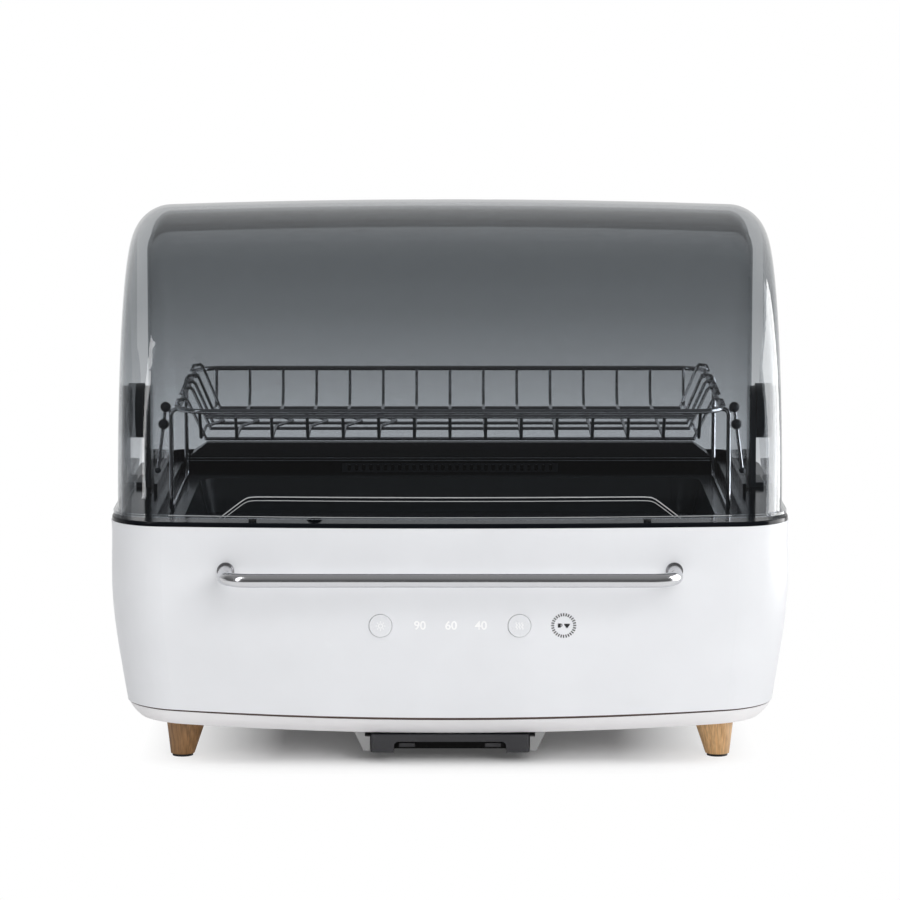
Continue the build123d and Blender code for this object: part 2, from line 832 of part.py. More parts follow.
with BuildPart() as fan_shaft:
    with BuildSketch(Plane.XZ.offset(-fan_y + motor_length - shaft_inset)):
        with Locations((0, fan_height)):
            Circle(fan_shaft_radius)
    extrude(amount=-(motor_length + fan_wall + fan_end_play + impeller_depth / 2))
fan_shaft.part.label = "fan_shaft"
export_step(fan_shaft.part, "parts/fan_shaft.step")

heater_half_width = duct_half_width - fan_wall - clearance
heater_half_depth = fan_depth / 2 - fan_wall - clearance

with BuildPart() as heater_frame:
    with BuildSketch(Plane.XY.offset(heater_height)):
        with Locations((0, fan_middle_y)):
            Rectangle(2 * heater_half_width, 2 * heater_half_depth)
            Rectangle(2 * (heater_half_width - heater_frame_wall), 2 * (heater_half_depth - heater_frame_wall), mode=Mode.SUBTRACT)
    extrude(amount=heater_thickness)
heater_frame.part.label = "heater_frame"
export_step(heater_frame.part, "parts/heater_frame.step")

with BuildPart() as heater_core:
    with BuildSketch(Plane.XY.offset(heater_height + heater_core_inset)):
        with Locations((0, fan_middle_y)):
            Rectangle(2 * (heater_half_width - heater_frame_wall), 2 * (heater_half_depth - heater_frame_wall))
            with GridLocations(2 * (heater_half_width - heater_frame_wall) / fin_count, 1, fin_count, 1):
                Rectangle(fin_gap, 2 * (heater_half_depth - heater_frame_wall - fin_end), mode=Mode.SUBTRACT)
    extrude(amount=heater_thickness - 2 * heater_core_inset)
heater_core.part.label = "heater_core"
export_step(heater_core.part, "parts/heater_core.step")

with BuildPart() as thermostat:
    with BuildSketch(Plane.YZ.offset(duct_half_width)):
        with Locations((fan_middle_y, heater_height - thermostat_drop)):
            Circle(thermostat_radius)
    extrude(amount=thermostat_depth)
thermostat.part.label = "thermostat"
export_step(thermostat.part, "parts/thermostat.step")

grille_flange = 3.0
grille_proud = 1.2
grille_corner = 8.0
vent_pitch = 7.0
vent_width = 3.6
vent_rows = 8

with BuildPart() as intake_grille:
    with BuildSketch(Plane.XZ.offset(-body_back - grille_proud)):
        with Locations((0, fan_height)):
            RectangleRounded(intake_width + 2 * grille_flange, intake_height + 2 * grille_flange, grille_corner + 2.0)
    extrude(amount=grille_proud)
    with BuildSketch(Plane.XZ.offset(-body_back)):
        with Locations((0, fan_height)):
            RectangleRounded(intake_width - clearance, intake_height - clearance, grille_corner)
    extrude(amount=body_wall)
    with BuildSketch(Plane.XZ.offset(-body_back - grille_proud)):
        with Locations((0, fan_height)):
            with GridLocations(intake_width / 2, vent_pitch, 2, vent_rows):
                SlotOverall(intake_width / 2 - grille_corner, vent_width)
    extrude(amount=body_wall + grille_proud, mode=Mode.SUBTRACT)
intake_grille.part.label = "intake_grille"
export_step(intake_grille.part, "parts/intake_grille.step")

with BuildPart() as cord_gland:
    with BuildSketch(Plane.XZ.offset(-body_back - gland_flange_depth)):
        with Locations((gland_x, gland_height)):
            Circle(gland_radius + gland_flange)
    extrude(amount=gland_flange_depth)
    with BuildSketch(Plane.XZ.offset(-body_back)):
        with Locations((gland_x, gland_height)):
            Circle(gland_radius - 0.1)
    extrude(amount=gland_neck)
    with BuildSketch(Plane.XZ.offset(-body_back - gland_flange_depth)):
        with Locations((gland_x, gland_height)):
            Circle(gland_bore_radius)
    extrude(amount=gland_neck + gland_flange_depth, mode=Mode.SUBTRACT)
cord_gland.part.label = "cord_gland"
export_step(cord_gland.part, "parts/cord_gland.step")

# ---------------------------------------------------------------- boards
with BuildPart() as power_board:
    with BuildSketch(Plane.XY.offset(power_board_height)):
        with Locations((sum(power_board_x) / 2, sum(power_board_y) / 2)):
            Rectangle(power_board_x[1] - power_board_x[0], power_board_y[1] - power_board_y[0])
    extrude(amount=board_thickness)
power_board.part.label = "power_board"
export_step(power_board.part, "parts/power_board.step")

# transformer, relay and terminal block: place from the board's corner, width, depth and height
power_blocks = [(26.0, 22.0, 30.0, 26.0, 24.0), (64.0, 24.0, 16.0, 20.0, 16.0), (72.0, 52.0, 34.0, 12.0, 12.0)]
capacitor_places = [(22.0, 54.0), (40.0, 54.0)]
capacitor_radius = 6.0
capacitor_height = 20.0

with BuildPart() as power_parts:
    for x, y, width, depth, height in power_blocks:
        with BuildSketch(Plane.XY.offset(power_board_height + board_thickness)):
            with Locations((power_board_x[0] + x, power_board_y[0] + y)):
                Rectangle(width, depth)
        extrude(amount=height)
    with BuildSketch(Plane.XY.offset(power_board_height + board_thickness)):
        with Locations(*[(power_board_x[0] + x, power_board_y[0] + y) for x, y in capacitor_places]):
            Circle(capacitor_radius)
    extrude(amount=capacitor_height)
power_parts.part.label = "power_parts"
export_step(power_parts.part, "parts/power_parts.step")

with BuildPart() as control_board:
    with BuildSketch(Plane.XZ.offset(-board_y)):
        with Locations((0, (board_bottom + board_top) / 2)):
            Rectangle(2 * board_half_width, board_top - board_bottom)
    extrude(amount=-board_thickness)
control_board.part.label = "control_board"
export_step(control_board.part, "parts/control_board.step")

with BuildPart() as tact_switches:
    with BuildSketch(Plane.XZ.offset(-board_y)):
        with Locations((-button_x, button_height), (button_x, button_height)):
            Rectangle(tact_width, tact_width)
    extrude(amount=tact_height - tact_stem)
    with BuildSketch(Plane.XZ.offset(-board_y)):
        with Locations((-button_x, button_height), (button_x, button_height)):
            Circle(tact_stem_radius)
    extrude(amount=tact_height)
tact_switches.part.label = "tact_switches"
export_step(tact_switches.part, "parts/tact_switches.step")

guide_width = 64.0
guide_height = 13.0

with BuildPart() as light_guide:
    with BuildSketch(Plane.XZ.offset(-board_y)):
        with Locations((0, button_height)):
            RectangleRounded(guide_width, guide_height, 3.0)
    extrude(amount=board_y - body_front)
    add(casing_form(shell_levels, body_wall + clearance), mode=Mode.INTERSECT)
light_guide.part.label = "light_guide"
export_step(light_guide.part, "parts/light_guide.step")

# ---------------------------------------------------------------- drip tray and its rails
def tray_block(inset, bottom, top):
    """Rounded block of the drip tray, drawn in by inset."""
    with BuildPart() as block:
        with BuildSketch(Plane.XY.offset(bottom)) as plan:
            with Locations((0, tray_front + tray_depth / 2)):
                Rectangle(tray_width - 2 * inset, tray_depth - 2 * inset)
            fillet(plan.vertices(), radius=tray_corner - inset / 2)
        extrude(amount=top - bottom)
    return block.part


tray_rail_inner = tray_width / 2 + clearance
shelf_height = tray_top - tray_flange_thickness - clearance

with BuildPart() as drip_tray:
    add(tray_block(0.0, tray_bottom, tray_top))
    add(tray_block(tray_wall, tray_bottom + tray_wall, tray_top), mode=Mode.SUBTRACT)
    # the side flanges that slide on the rails
    for side in (-1, 1):
        with BuildSketch(Plane.XY.offset(tray_top - tray_flange_thickness)):
            with Locations((side * (tray_width + tray_flange) / 2, tray_front + tray_depth / 2 + tray_corner)):
                Rectangle(tray_flange + 0.2, tray_depth - 4 * tray_corner)
        extrude(amount=tray_flange_thickness)
    # solid nose with the finger recess under it
    with BuildSketch(Plane.XY.offset(tray_bottom)):
        with Locations((0, tray_front + tray_corner + tray_grip_depth / 2)):
            Rectangle(tray_width - 2 * tray_wall, tray_grip_depth)
    extrude(amount=tray_top - tray_bottom)
    with BuildSketch(Plane.XZ.offset(-tray_front)) as recess:
        with Locations((0, tray_bottom)):
            Rectangle(tray_grip_width, 2 * tray_grip_height)
        fillet(recess.vertices(), radius=tray_recess_radius)
    extrude(amount=-tray_grip_depth, mode=Mode.SUBTRACT)
drip_tray.part.label = "drip_tray"
export_step(drip_tray.part, "parts/drip_tray.step")


def tray_rail(side):
    """A rail with a slanted outside and a shelf for the tray's flange, seated on the pan."""
    outer_top = tray_rail_inner + tray_rail_top
    outer_bottom = tray_rail_inner + tray_rail_foot
    flange_end = tray_rail_inner + tray_flange
    with BuildPart() as rail:
        with BuildSketch(Plane.XZ.offset(-tray_front - tray_rail_setback)):
            with BuildLine():
                Polyline(
                    (side * tray_rail_inner, tray_bottom + 1.0),
                    (side * outer_bottom, tray_bottom + 1.0),
                    (side * outer_top, hull_at(outer_top) + 1.0),
                    (side * flange_end, hull_at(outer_top) + 1.0),
                    (side * flange_end, shelf_height),
                    (side * tray_rail_inner, shelf_height),
                    close=True,
                )
            make_face()
        extrude(amount=-tray_depth)
        add(above_hull, mode=Mode.SUBTRACT)
    return rail.part


for name, side in {"tray_rail_left": -1, "tray_rail_right": 1}.items():
    rail = tray_rail(side)
    rail.label = name
    export_step(rail, f"parts/{name}.step")

# ---------------------------------------------------------------- towel rail
rail_end_y = board_y + 4.0
collar_front = front_at(rail_leg_x) - rail_collar_thickness

with BuildPart() as towel_rail:
    with BuildLine() as rail_path:
        FilletPolyline(
            (-rail_leg_x, rail_end_y, rail_height),
            (-rail_leg_x, rail_y, rail_height),
            (rail_leg_x, rail_y, rail_height),
            (rail_leg_x, rail_end_y, rail_height),
            radius=rail_bend_radius,
        )
    with BuildSketch(Plane(origin=rail_path.line @ 0, z_dir=rail_path.line % 0)):
        Circle(rail_diameter / 2)
    sweep()
towel_rail.part.label = "towel_rail"
export_step(towel_rail.part, "parts/towel_rail.step")

with BuildPart() as rail_collars:
    with BuildSketch(Plane.XZ.offset(-collar_front)):
        with Locations((-rail_leg_x, rail_height), (rail_leg_x, rail_height)):
            Circle(rail_collar_radius)
            Circle(rail_diameter / 2, mode=Mode.SUBTRACT)
    extrude(amount=-2 * rail_collar_thickness)
    add(shell_block, mode=Mode.SUBTRACT)
rail_collars.part.label = "rail_collars"
export_step(rail_collars.part, "parts/rail_collars.step")

with BuildPart() as rail_nuts:
    with BuildSketch(Plane.XZ.offset(-rail_end_y)):
        with Locations((-rail_leg_x, rail_height), (rail_leg_x, rail_height)):
            RegularPolygon(rail_nut_width / 2, 6)
            Circle(rail_diameter / 2, mode=Mode.SUBTRACT)
    extrude(amount=rail_nut_thickness)
rail_nuts.part.label = "rail_nuts"
export_step(rail_nuts.part, "parts/rail_nuts.step")

# ---------------------------------------------------------------- buttons and lid switch
button_stem_radius = 2.2
button_gap = button_travel + 0.2


def push_button(x):
    """A round button that stands a little proud of the front, with a flange behind the wall."""
    face = front_at(x) - button_proud
    stem_end = board_y - tact_height - button_gap
    flange_front = front_at(x) + body_wall + button_travel + 0.4
    with BuildPart() as button:
        with BuildSketch(Plane.XZ.offset(-face)):
            with Locations((x, button_height)):
                Circle(button_radius)
        extrude(amount=face - flange_front)
        fillet(button.faces().sort_by(Axis.Y)[0].edges(), radius=0.6)
        with BuildSketch(Plane.XZ.offset(-flange_front)):
            with Locations((x, button_height)):
                Circle(button_radius + button_flange)
        extrude(amount=-button_flange)
        with BuildSketch(Plane.XZ.offset(-flange_front)):
            with Locations((x, button_height)):
                Circle(button_stem_radius)
        extrude(amount=flange_front - stem_end)
    return button.part


for name, x in {"sterilise_button": -button_x, "dry_button": button_x}.items():
    button = push_button(x)
    button.label = name
    export_step(button, f"parts/{name}.step")

switch_y = body_front + switch_inset
dome_radius = (switch_radius**2 + switch_rise**2) / (2 * switch_rise)
switch_foot = shell_top - ledge_thickness

with BuildPart() as lid_switch_plunger:
    with BuildSketch(Plane.XZ.offset(-switch_y)):
        with BuildLine():
            cap = ThreePointArc(
                (switch_radius, rim_top),
                (dome_radius * sin(asin(switch_radius / dome_radius) / 2), rim_top + switch_rise - dome_radius
                 + dome_radius * cos(asin(switch_radius / dome_radius) / 2)),
                (0, rim_top + switch_rise),
            )
            Polyline(cap @ 1, (0, switch_foot), (switch_radius, switch_foot), cap @ 0)
        make_face()
    revolve(axis=Axis((0, switch_y, 0), (0, 0, 1)))
    with BuildSketch(Plane.XY.offset(switch_foot)):
        with Locations((0, switch_y)):
            Circle(switch_stem_radius)
    extrude(amount=-switch_stem_length)
lid_switch_plunger.part = lid_switch_plunger.part.moved(Location((switch_x, 0, 0)))
lid_switch_plunger.part.label = "lid_switch_plunger"
export_step(lid_switch_plunger.part, "parts/lid_switch_plunger.step")

switch_body_top = switch_foot - switch_stem_length - switch_travel - clearance

with BuildPart() as lid_switch_body:
    with BuildSketch(Plane.XY.offset(switch_body_top)):
        with Locations((switch_x, switch_y)):
            Rectangle(switch_body_width, switch_body_depth)
    extrude(amount=-switch_body_height)
    with BuildSketch(Plane.XY.offset(switch_body_top - switch_body_height)):
        with Locations((switch_x + (switch_body_width + switch_bracket) / 2, switch_y)):
            Rectangle(switch_bracket, switch_body_depth)
    extrude(amount=switch_foot - switch_body_top + switch_body_height)
lid_switch_body.part.label = "lid_switch_body"
export_step(lid_switch_body.part, "parts/lid_switch_body.step")

# ---------------------------------------------------------------- hood
with BuildPart() as rear_cover:
    add(cover_form(0.0))
    add(cover_form(hood_wall, front=cover_front - 2 * cover_bead_width, bottom=rim_top - 1.0), mode=Mode.SUBTRACT)
with BuildPart() as cover_bead:
    add(cover_form(-cover_bead_relief))
    add(cover_form(hood_wall, front=cover_front - 2 * cover_bead_width, bottom=rim_top - 1.0), mode=Mode.SUBTRACT)
    with BuildSketch(Plane.XZ.offset(-cover_front - cover_bead_width)):
        Rectangle(2 * body_width, 4 * hood_top)
    extrude(amount=-2 * body_width, mode=Mode.SUBTRACT)
rear_cover.part = rear_cover.part.fuse(cover_bead.part)
rear_cover.part.label = "rear_cover"
export_step(rear_cover.part, "parts/rear_cover.step")


# ---------------------------------------------------------------- lid
def lid_form(inset, skirt=5.0):
    """The lid as a solid block: elliptical front, round top that turns about the hinge axis."""
    half = hood_half_width - inset
    back_angle = 60.0          # far enough past the top to be trimmed at the lid's rear edge
    bottom = lid_springing - skirt
    sections = []
    for x in (-half, 0.0, half):
        share = (x / hood_half_width) ** 2
        reach = hood_reach - hood_front_crown * share - inset
        radius = lid_radius - hood_top_crown * share - inset
        rise = hinge_z + radius - lid_springing
        with BuildSketch(Plane.YZ.offset(x)) as section:
            with BuildLine():
                front = EllipticalCenterArc((hinge_y, lid_springing), reach, rise, 90.0, arc_size=90.0)
                top = CenterArc((hinge_y, hinge_z), radius, 90.0, -back_angle)
                Polyline(top @ 1, ((top @ 1).X, bottom), ((front @ 1).X, bottom), front @ 1)
            make_face()
        sections.append(section.sketch)
    with BuildPart() as form:
        loft(sections)
        ends = form.faces().filter_by(Axis.X).edges()
        back_end = hinge_y + lid_radius * sin(radians(back_angle)) - 4 * hood_wall
        round_edges = ends.filter_by(lambda edge: edge.center().Z > lid_springing and edge.center().Y < back_end)
        fillet(round_edges, radius=hood_edge_radius - inset)
    return form.part


lid_hollow = lid_form(hood_wall, skirt=10.0)

with BuildPart() as visor_space:
    # in front of a line from the hinge to the rear edge of the lid, plus the lobe round the hinge
    with BuildSketch(Plane.YZ.offset(-body_width)):
        with BuildLine():
            Polyline(
                (hinge_y, lid_bottom),
                (hinge_y, hinge_z),
                (hinge_y + 2 * lid_radius * sin(radians(lid_rear_angle)), hinge_z + 2 * lid_radius * cos(radians(lid_rear_angle))),
                (-2 * body_width, hinge_z + 2 * lid_radius),
                (-2 * body_width, lid_bottom),
                close=True,
            )
        make_face()
        with Locations((hinge_y, hinge_z)):
            Circle(lid_lobe_radius)
    extrude(amount=2 * body_width)

with BuildPart() as lid_lip_ring:
    add(lid_form(-lid_lip))
    add(slab(lid_bottom, lid_bottom + lid_lip_thickness), mode=Mode.INTERSECT)
    with BuildSketch(Plane.XZ.offset(-hinge_y)):
        Rectangle(2 * body_width, 4 * hood_top)
    extrude(amount=-body_width, mode=Mode.SUBTRACT)

with BuildPart() as grip_pad:
    with BuildSketch(Plane.XZ):
        with BuildLine():
            Polyline(
                (-grip_bottom_width / 2, lid_bottom),
                (grip_bottom_width / 2, lid_bottom),
                (grip_top_width / 2, lid_bottom + grip_height),
                (-grip_top_width / 2, lid_bottom + grip_height),
                close=True,
            )
        make_face()
    extrude(amount=body_width)
    add(lid_form(-grip_relief), mode=Mode.INTERSECT)

with BuildPart() as front_lid:
    add(lid_form(0.0))
    add(visor_space.part, mode=Mode.INTERSECT)
    add(lid_lip_ring.part)
    add(grip_pad.part)
    add(lid_hollow, mode=Mode.SUBTRACT)
front_lid.part.label = "front_lid"
export_step(front_lid.part, "parts/front_lid.step")

# ---------------------------------------------------------------- hinge
post_inner = cover_half_width + hinge_post_gap
post_outer = post_inner + hinge_post_thickness
disc_inner = post_outer + 2 * clearance
disc_outer = hood_half_width - hood_wall
pin_end_wall = 1.0
pin_end = disc_outer - pin_end_wall


def hinge_post(side):
    """An upright bracket beside the cover, round at the hinge axis, on a flat foot."""
    with BuildPart() as post:
        with BuildSketch(Plane.YZ.offset(side * post_inner)):
            with Locations((hinge_y, hinge_z)):
                Circle(hinge_post_top)
            with Locations((hinge_y, rim_top + hinge_base_thickness / 2)):
                Rectangle(hinge_post_width, hinge_base_thickness)
            make_hull()
            with Locations((hinge_y, hinge_z)):
                Circle(hinge_pin_radius, mode=Mode.SUBTRACT)
        extrude(amount=side * hinge_post_thickness)
        with BuildSketch(Plane.XY.offset(rim_top)):
            with Locations((side * (post_inner + disc_outer - 2 * clearance) / 2, hinge_y)):
                Rectangle(disc_outer - 2 * clearance - post_inner, hinge_post_width)
        extrude(amount=hinge_base_thickness)
    return post.part


def hinge_pin(side):
    with BuildPart() as pin:
        with BuildSketch(Plane.YZ.offset(side * post_inner)):
            with Locations((hinge_y, hinge_z)):
                Circle(hinge_pin_radius)
        extrude(amount=side * (pin_end - post_inner))
    return pin.part


def hinge_disc(side):
    """The bearing disc fixed inside the lid, with a blind bore for the pin."""
    with BuildPart() as disc:
        with BuildSketch(Plane.YZ.offset(side * disc_inner)):
            with Locations((hinge_y, hinge_z)):
                Circle(hinge_disc_radius)
        extrude(amount=side * (disc_outer - disc_inner))
        with BuildSketch(Plane.YZ.offset(side * disc_inner)):
            with Locations((hinge_y, hinge_z)):
                Circle(hinge_pin_radius + hinge_running_gap)
        extrude(amount=side * (pin_end + clearance - disc_inner), mode=Mode.SUBTRACT)
    return disc.part


for word, side in (("left", -1), ("right", 1)):
    for name, piece in (
        (f"hinge_post_{word}", hinge_post(side)),
        (f"hinge_pin_{word}", hinge_pin(side)),
        (f"hinge_disc_{word}", hinge_disc(side)),
    ):
        piece.label = name
        export_step(piece, f"parts/{name}.step")

bumper_x = 150.0
bumper_radius = 3.0
bumper_inset = 8.0         # behind the front of the hood

with BuildPart() as lid_bumpers:
    bumper_y = front_at(bumper_x) + hood_inset + bumper_inset
    with BuildSketch(Plane.XY.offset(rim_top)):
        with Locations((-bumper_x, bumper_y), (bumper_x, bumper_y)):
            Circle(bumper_radius)
    extrude(amount=lid_bottom - rim_top - clearance)
lid_bumpers.part.label = "lid_bumpers"
export_step(lid_bumpers.part, "parts/lid_bumpers.step")

# ---------------------------------------------------------------- wire rack
rim_slope = (rack_back_height - rack_front_height) / (rack_back_y - rack_front_y)


def rack_rim_height(y):
    return rack_front_height + rim_slope * (y - rack_front_y)


def frame_wire(side):
    """A side frame: a runner on the basin's ledge, two legs with hooks, and a splayed stay."""
    x = side * frame_x
    hook_x = side * (frame_x - frame_hook)
    runner_z = basin_ledge_height + frame_wire_radius
    front_hook_z = rack_rim_height(frame_front_y) - rack_rim_radius - clearance - frame_wire_radius
    back_hook_z = rack_rim_height(frame_back_y) - rack_rim_radius - clearance - frame_wire_radius
    stay_y = frame_front_y + 1.5 * frame_wire_radius
    with BuildPart() as frame:
        with BuildLine() as path:
            FilletPolyline(
                (hook_x, frame_front_y, front_hook_z),
                (x, frame_front_y, front_hook_z),
                (x, frame_front_y, runner_z),
                (x, frame_back_y, runner_z),
                (x, frame_back_y, back_hook_z),
                (hook_x, frame_back_y, back_hook_z),
                radius=frame_bend_radius,
            )
        with BuildSketch(Plane(origin=path.line @ 0, z_dir=path.line % 0)):
            Circle(frame_wire_radius)
        sweep()
    with BuildPart() as stay:
        with BuildLine() as stay_path:
            FilletPolyline(
                (x, stay_y, front_hook_z - stay_foot_drop),
                (x + side * stay_spread / 3, stay_y, stay_top),
                (x + side * stay_spread, stay_y, stay_bottom),
                radius=stay_bend_radius,
            )
        with BuildSketch(Plane(origin=stay_path.line @ 0, z_dir=stay_path.line % 0)):
            Circle(stay_wire_radius)
        sweep()
    return frame.part.fuse(stay.part)


for name, side in {"rack_frame_left": -1, "rack_frame_right": 1}.items():
    frame = frame_wire(side)
    frame.label = name
    export_step(frame, f"parts/{name}.step")

with BuildPart() as rack_balls:
    stay_y = frame_front_y + 1.5 * frame_wire_radius
    for side in (-1, 1):
        for height in ball_heights + (stay_bottom,):
            share = (stay_top - height) / (stay_top - stay_bottom)
            ball_x = side * (frame_x + stay_spread * (1 + 2 * share) / 3)
            with Locations((ball_x, stay_y, height)):
                Sphere(ball_radius if height > stay_bottom else end_ball_radius)
rack_balls.part = rack_balls.part.cut(frame_wire(-1), frame_wire(1))
rack_balls.part.label = "rack_balls"
export_step(rack_balls.part, "parts/rack_balls.step")

rim_plane = Plane(
    origin=(0, rack_front_y, rack_front_height),
    x_dir=(1, 0, 0),
    z_dir=Vector(1, 0, 0).cross(Vector(0, 1, rim_slope)),
)
rim_length = (rack_back_y - rack_front_y) * sqrt(1 + rim_slope**2)

with BuildPart() as rack_rim:
    with BuildLine(rim_plane) as rim_path:
        FilletPolyline(
            (-rack_rim_x, 0), (rack_rim_x, 0), (rack_rim_x, rim_length), (-rack_rim_x, rim_length),
            close=True, radius=rack_rim_corner,
        )
    with BuildSketch(Plane(origin=rim_path.line @ 0, z_dir=rim_path.line % 0)):
        Circle(rack_rim_radius)
    sweep()
rack_rim.part.label = "rack_rim"
export_step(rack_rim.part, "parts/rack_rim.step")

with BuildPart() as rack_front_rail:
    with BuildSketch(Plane.YZ.offset(-rack_rim_x + rack_rim_corner)):
        with Locations((rack_front_y, rack_front_height - rack_second_rail_drop)):
            Circle(rack_second_rail_radius)
    extrude(amount=2 * (rack_rim_x - rack_rim_corner))
rack_front_rail.part.label = "rack_front_rail"
export_step(rack_front_rail.part, "parts/rack_front_rail.step")

wire_sides = 8
hook_drop = 1.0            # how far a wire's end comes down outside the rim
hook_rise = 1.5
hook_gap = 0.2
hook_depth = 3.0
hook_chamfer = 2.0
side_slant = 14.0
divider_half_length = 3.0  # as a share of the divider's offset
wire_back_y = rack_back_y - rack_rim_radius - rack_wire_radius
wire_front_y = rack_front_y + rack_rim_radius + rack_wire_radius
bottom_back_y = wire_back_y - rack_back_slant
bottom_front_y = wire_front_y + rack_front_slant


def wire(*points):
    """A thin wire along straight runs, mitred where they meet."""
    with BuildPart() as strand:
        with BuildLine() as path:
            Polyline(*points)
        with BuildSketch(Plane(origin=path.line @ 0, z_dir=path.line % 0)):
            RegularPolygon(rack_wire_radius, wire_sides)
        sweep(transition=Transition.RIGHT)
    return strand.part


def cross_wire(index):
    """From the back of the rim, down, along the bottom and up to the front of the rim."""
    x = (index - (cross_wire_count - 1) / 2) * cross_wire_pitch
    points = [
        (x, wire_back_y, rack_back_height),
        (x, wire_back_y, rack_kink_height),
        (x, bottom_back_y, rack_bottom_height),
    ]
    if index < divider_count:
        middle = (bottom_back_y + bottom_front_y) / 2
        points += [
            (x, middle + divider_half_length * divider_offset, rack_bottom_height),
            (x + divider_offset, middle, rack_bottom_height),
            (x, middle - divider_half_length * divider_offset, rack_bottom_height),
        ]
    points += [
        (x, bottom_front_y, rack_bottom_height),
        (x, wire_front_y, rack_front_height),
    ]
    return wire(*points)


def long_wire(y):
    """From side to side under the cross wires, hooked over the rim at both ends."""
    level = rack_bottom_height - 2 * rack_wire_radius
    reach = rack_rim_radius + rack_wire_radius
    hook_bottom = rack_rim_height(y) - hook_drop
    hook_top = rack_rim_height(y) + reach + hook_rise
    outside = rack_rim_x + reach + hook_gap
    inside = rack_rim_x - reach - hook_depth
    half = [
        (outside, hook_bottom),
        (outside - hook_chamfer, hook_top - hook_chamfer / 2),
        (inside + hook_chamfer, hook_top),
        (inside, hook_top - hook_chamfer),
        (inside - side_slant, level),
    ]
    left = [(-x, y, z) for x, z in half]
    right = [(x, y, z) for x, z in reversed(half)]
    return wire(*left, *right)


rack_cross_wires = Part(children=[cross_wire(index) for index in range(cross_wire_count)])
rack_cross_wires.label = "rack_cross_wires"
export_step(rack_cross_wires, "parts/rack_cross_wires.step")

rack_long_wires = Part(children=[long_wire(y) for y in long_wire_places])
rack_long_wires.label = "rack_long_wires"
export_step(rack_long_wires, "parts/rack_long_wires.step")
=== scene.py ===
import bpy
import json
import math
import numpy as np
from mathutils.bvhtree import BVHTree
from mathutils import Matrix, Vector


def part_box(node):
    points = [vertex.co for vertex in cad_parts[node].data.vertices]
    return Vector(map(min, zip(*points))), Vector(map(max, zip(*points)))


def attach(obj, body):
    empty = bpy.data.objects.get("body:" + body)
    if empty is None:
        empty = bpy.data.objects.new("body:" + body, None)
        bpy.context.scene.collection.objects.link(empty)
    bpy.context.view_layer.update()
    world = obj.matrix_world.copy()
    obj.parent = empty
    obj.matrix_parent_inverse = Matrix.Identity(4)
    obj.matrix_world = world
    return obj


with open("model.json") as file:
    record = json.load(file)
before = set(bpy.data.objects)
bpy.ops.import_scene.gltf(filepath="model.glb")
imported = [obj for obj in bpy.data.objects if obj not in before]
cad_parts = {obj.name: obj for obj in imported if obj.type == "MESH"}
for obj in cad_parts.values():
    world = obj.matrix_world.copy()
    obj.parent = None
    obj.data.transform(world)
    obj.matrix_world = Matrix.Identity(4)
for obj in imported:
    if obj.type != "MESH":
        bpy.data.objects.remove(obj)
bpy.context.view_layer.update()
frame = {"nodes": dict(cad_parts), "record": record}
scene = bpy.context.scene
mm = 0.001
print("frame loaded", len(frame["nodes"]), "nodes")

camera = {"place": (0.0, -3.346, 0.657), "pitchDown": 7.4, "fieldOfView": 12.107, "clipEnd": 200}


def addCamera(look):
    # in front of the object, at the photograph's height and distance
    lens = bpy.data.cameras.new("productCamera")
    lens.sensor_fit = "AUTO"
    lens.angle = math.radians(look["fieldOfView"])
    lens.clip_end = look["clipEnd"]
    holder = bpy.data.objects.new("productCamera", lens)
    holder.location = look["place"]
    holder.rotation_euler = (math.radians(90 - look["pitchDown"]), 0, 0)
    scene.collection.objects.link(holder)
    scene.camera = holder


addCamera(camera)
scene.view_settings.view_transform = "Standard"


# materials are node trees, put together with these short functions
def newMaterial(name):
    material = bpy.data.materials.new(name)
    material.use_nodes = True
    material.node_tree.nodes.clear()
    return material, material.node_tree


def addNode(tree, kind, values, **settings):
    # each input of the new node takes a plain value or another node's output
    node = tree.nodes.new("ShaderNode" + kind)
    for name, setting in settings.items():
        setattr(node, name, setting)
    for key, value in values.items():
        if isinstance(value, bpy.types.NodeSocket):
            tree.links.new(value, node.inputs[key])
        else:
            node.inputs[key].default_value = value
    return node


def objectPlace(tree):
    return addNode(tree, "TexCoord", {}).outputs["Object"]


def objectNoise(tree, scale, detail, stretch=(1, 1, 1)):
    # noise in the object's own metres, longer along an axis whose stretch is under one
    stretched = addNode(tree, "Mapping", {"Vector": objectPlace(tree), "Scale": stretch}).outputs["Vector"]
    return addNode(tree, "TexNoise", {"Vector": stretched, "Scale": scale, "Detail": detail}).outputs["Fac"]


def ranged(tree, source, low, high, fromLow=0.3, fromHigh=0.7):
    # spreads the source's stretch, which for noise is mostly 0.3 to 0.7, over low to high
    values = {"Value": source, "From Min": fromLow, "From Max": fromHigh, "To Min": low, "To Max": high}
    return addNode(tree, "MapRange", values).outputs["Result"]


def worked(tree, operation, *values):
    return addNode(tree, "Math", dict(enumerate(values)), operation=operation).outputs["Value"]


def mixed(tree, kind, share, first, second, blend="MIX"):
    values = {"Factor": share, "A": first, "B": second}
    return addNode(tree, "Mix", values, data_type=kind, blend_type=blend).outputs["Result"]


def mixedShaders(tree, share, first, second):
    return addNode(tree, "MixShader", {"Fac": share, 1: first, 2: second}).outputs["Shader"]


mouldedLook = {"metallic": 0.0, "ior": 1.5, "coat": 0.0, "coatRoughness": 0.08, "stretch": (1, 1, 1),
               "driftScale": 18.0, "driftDetail": 2.0, "driftShade": 0.965,
               "grainScale": 900.0, "grainDetail": 3.0, "bump": 0.05, "bumpDepth": 0.0002}


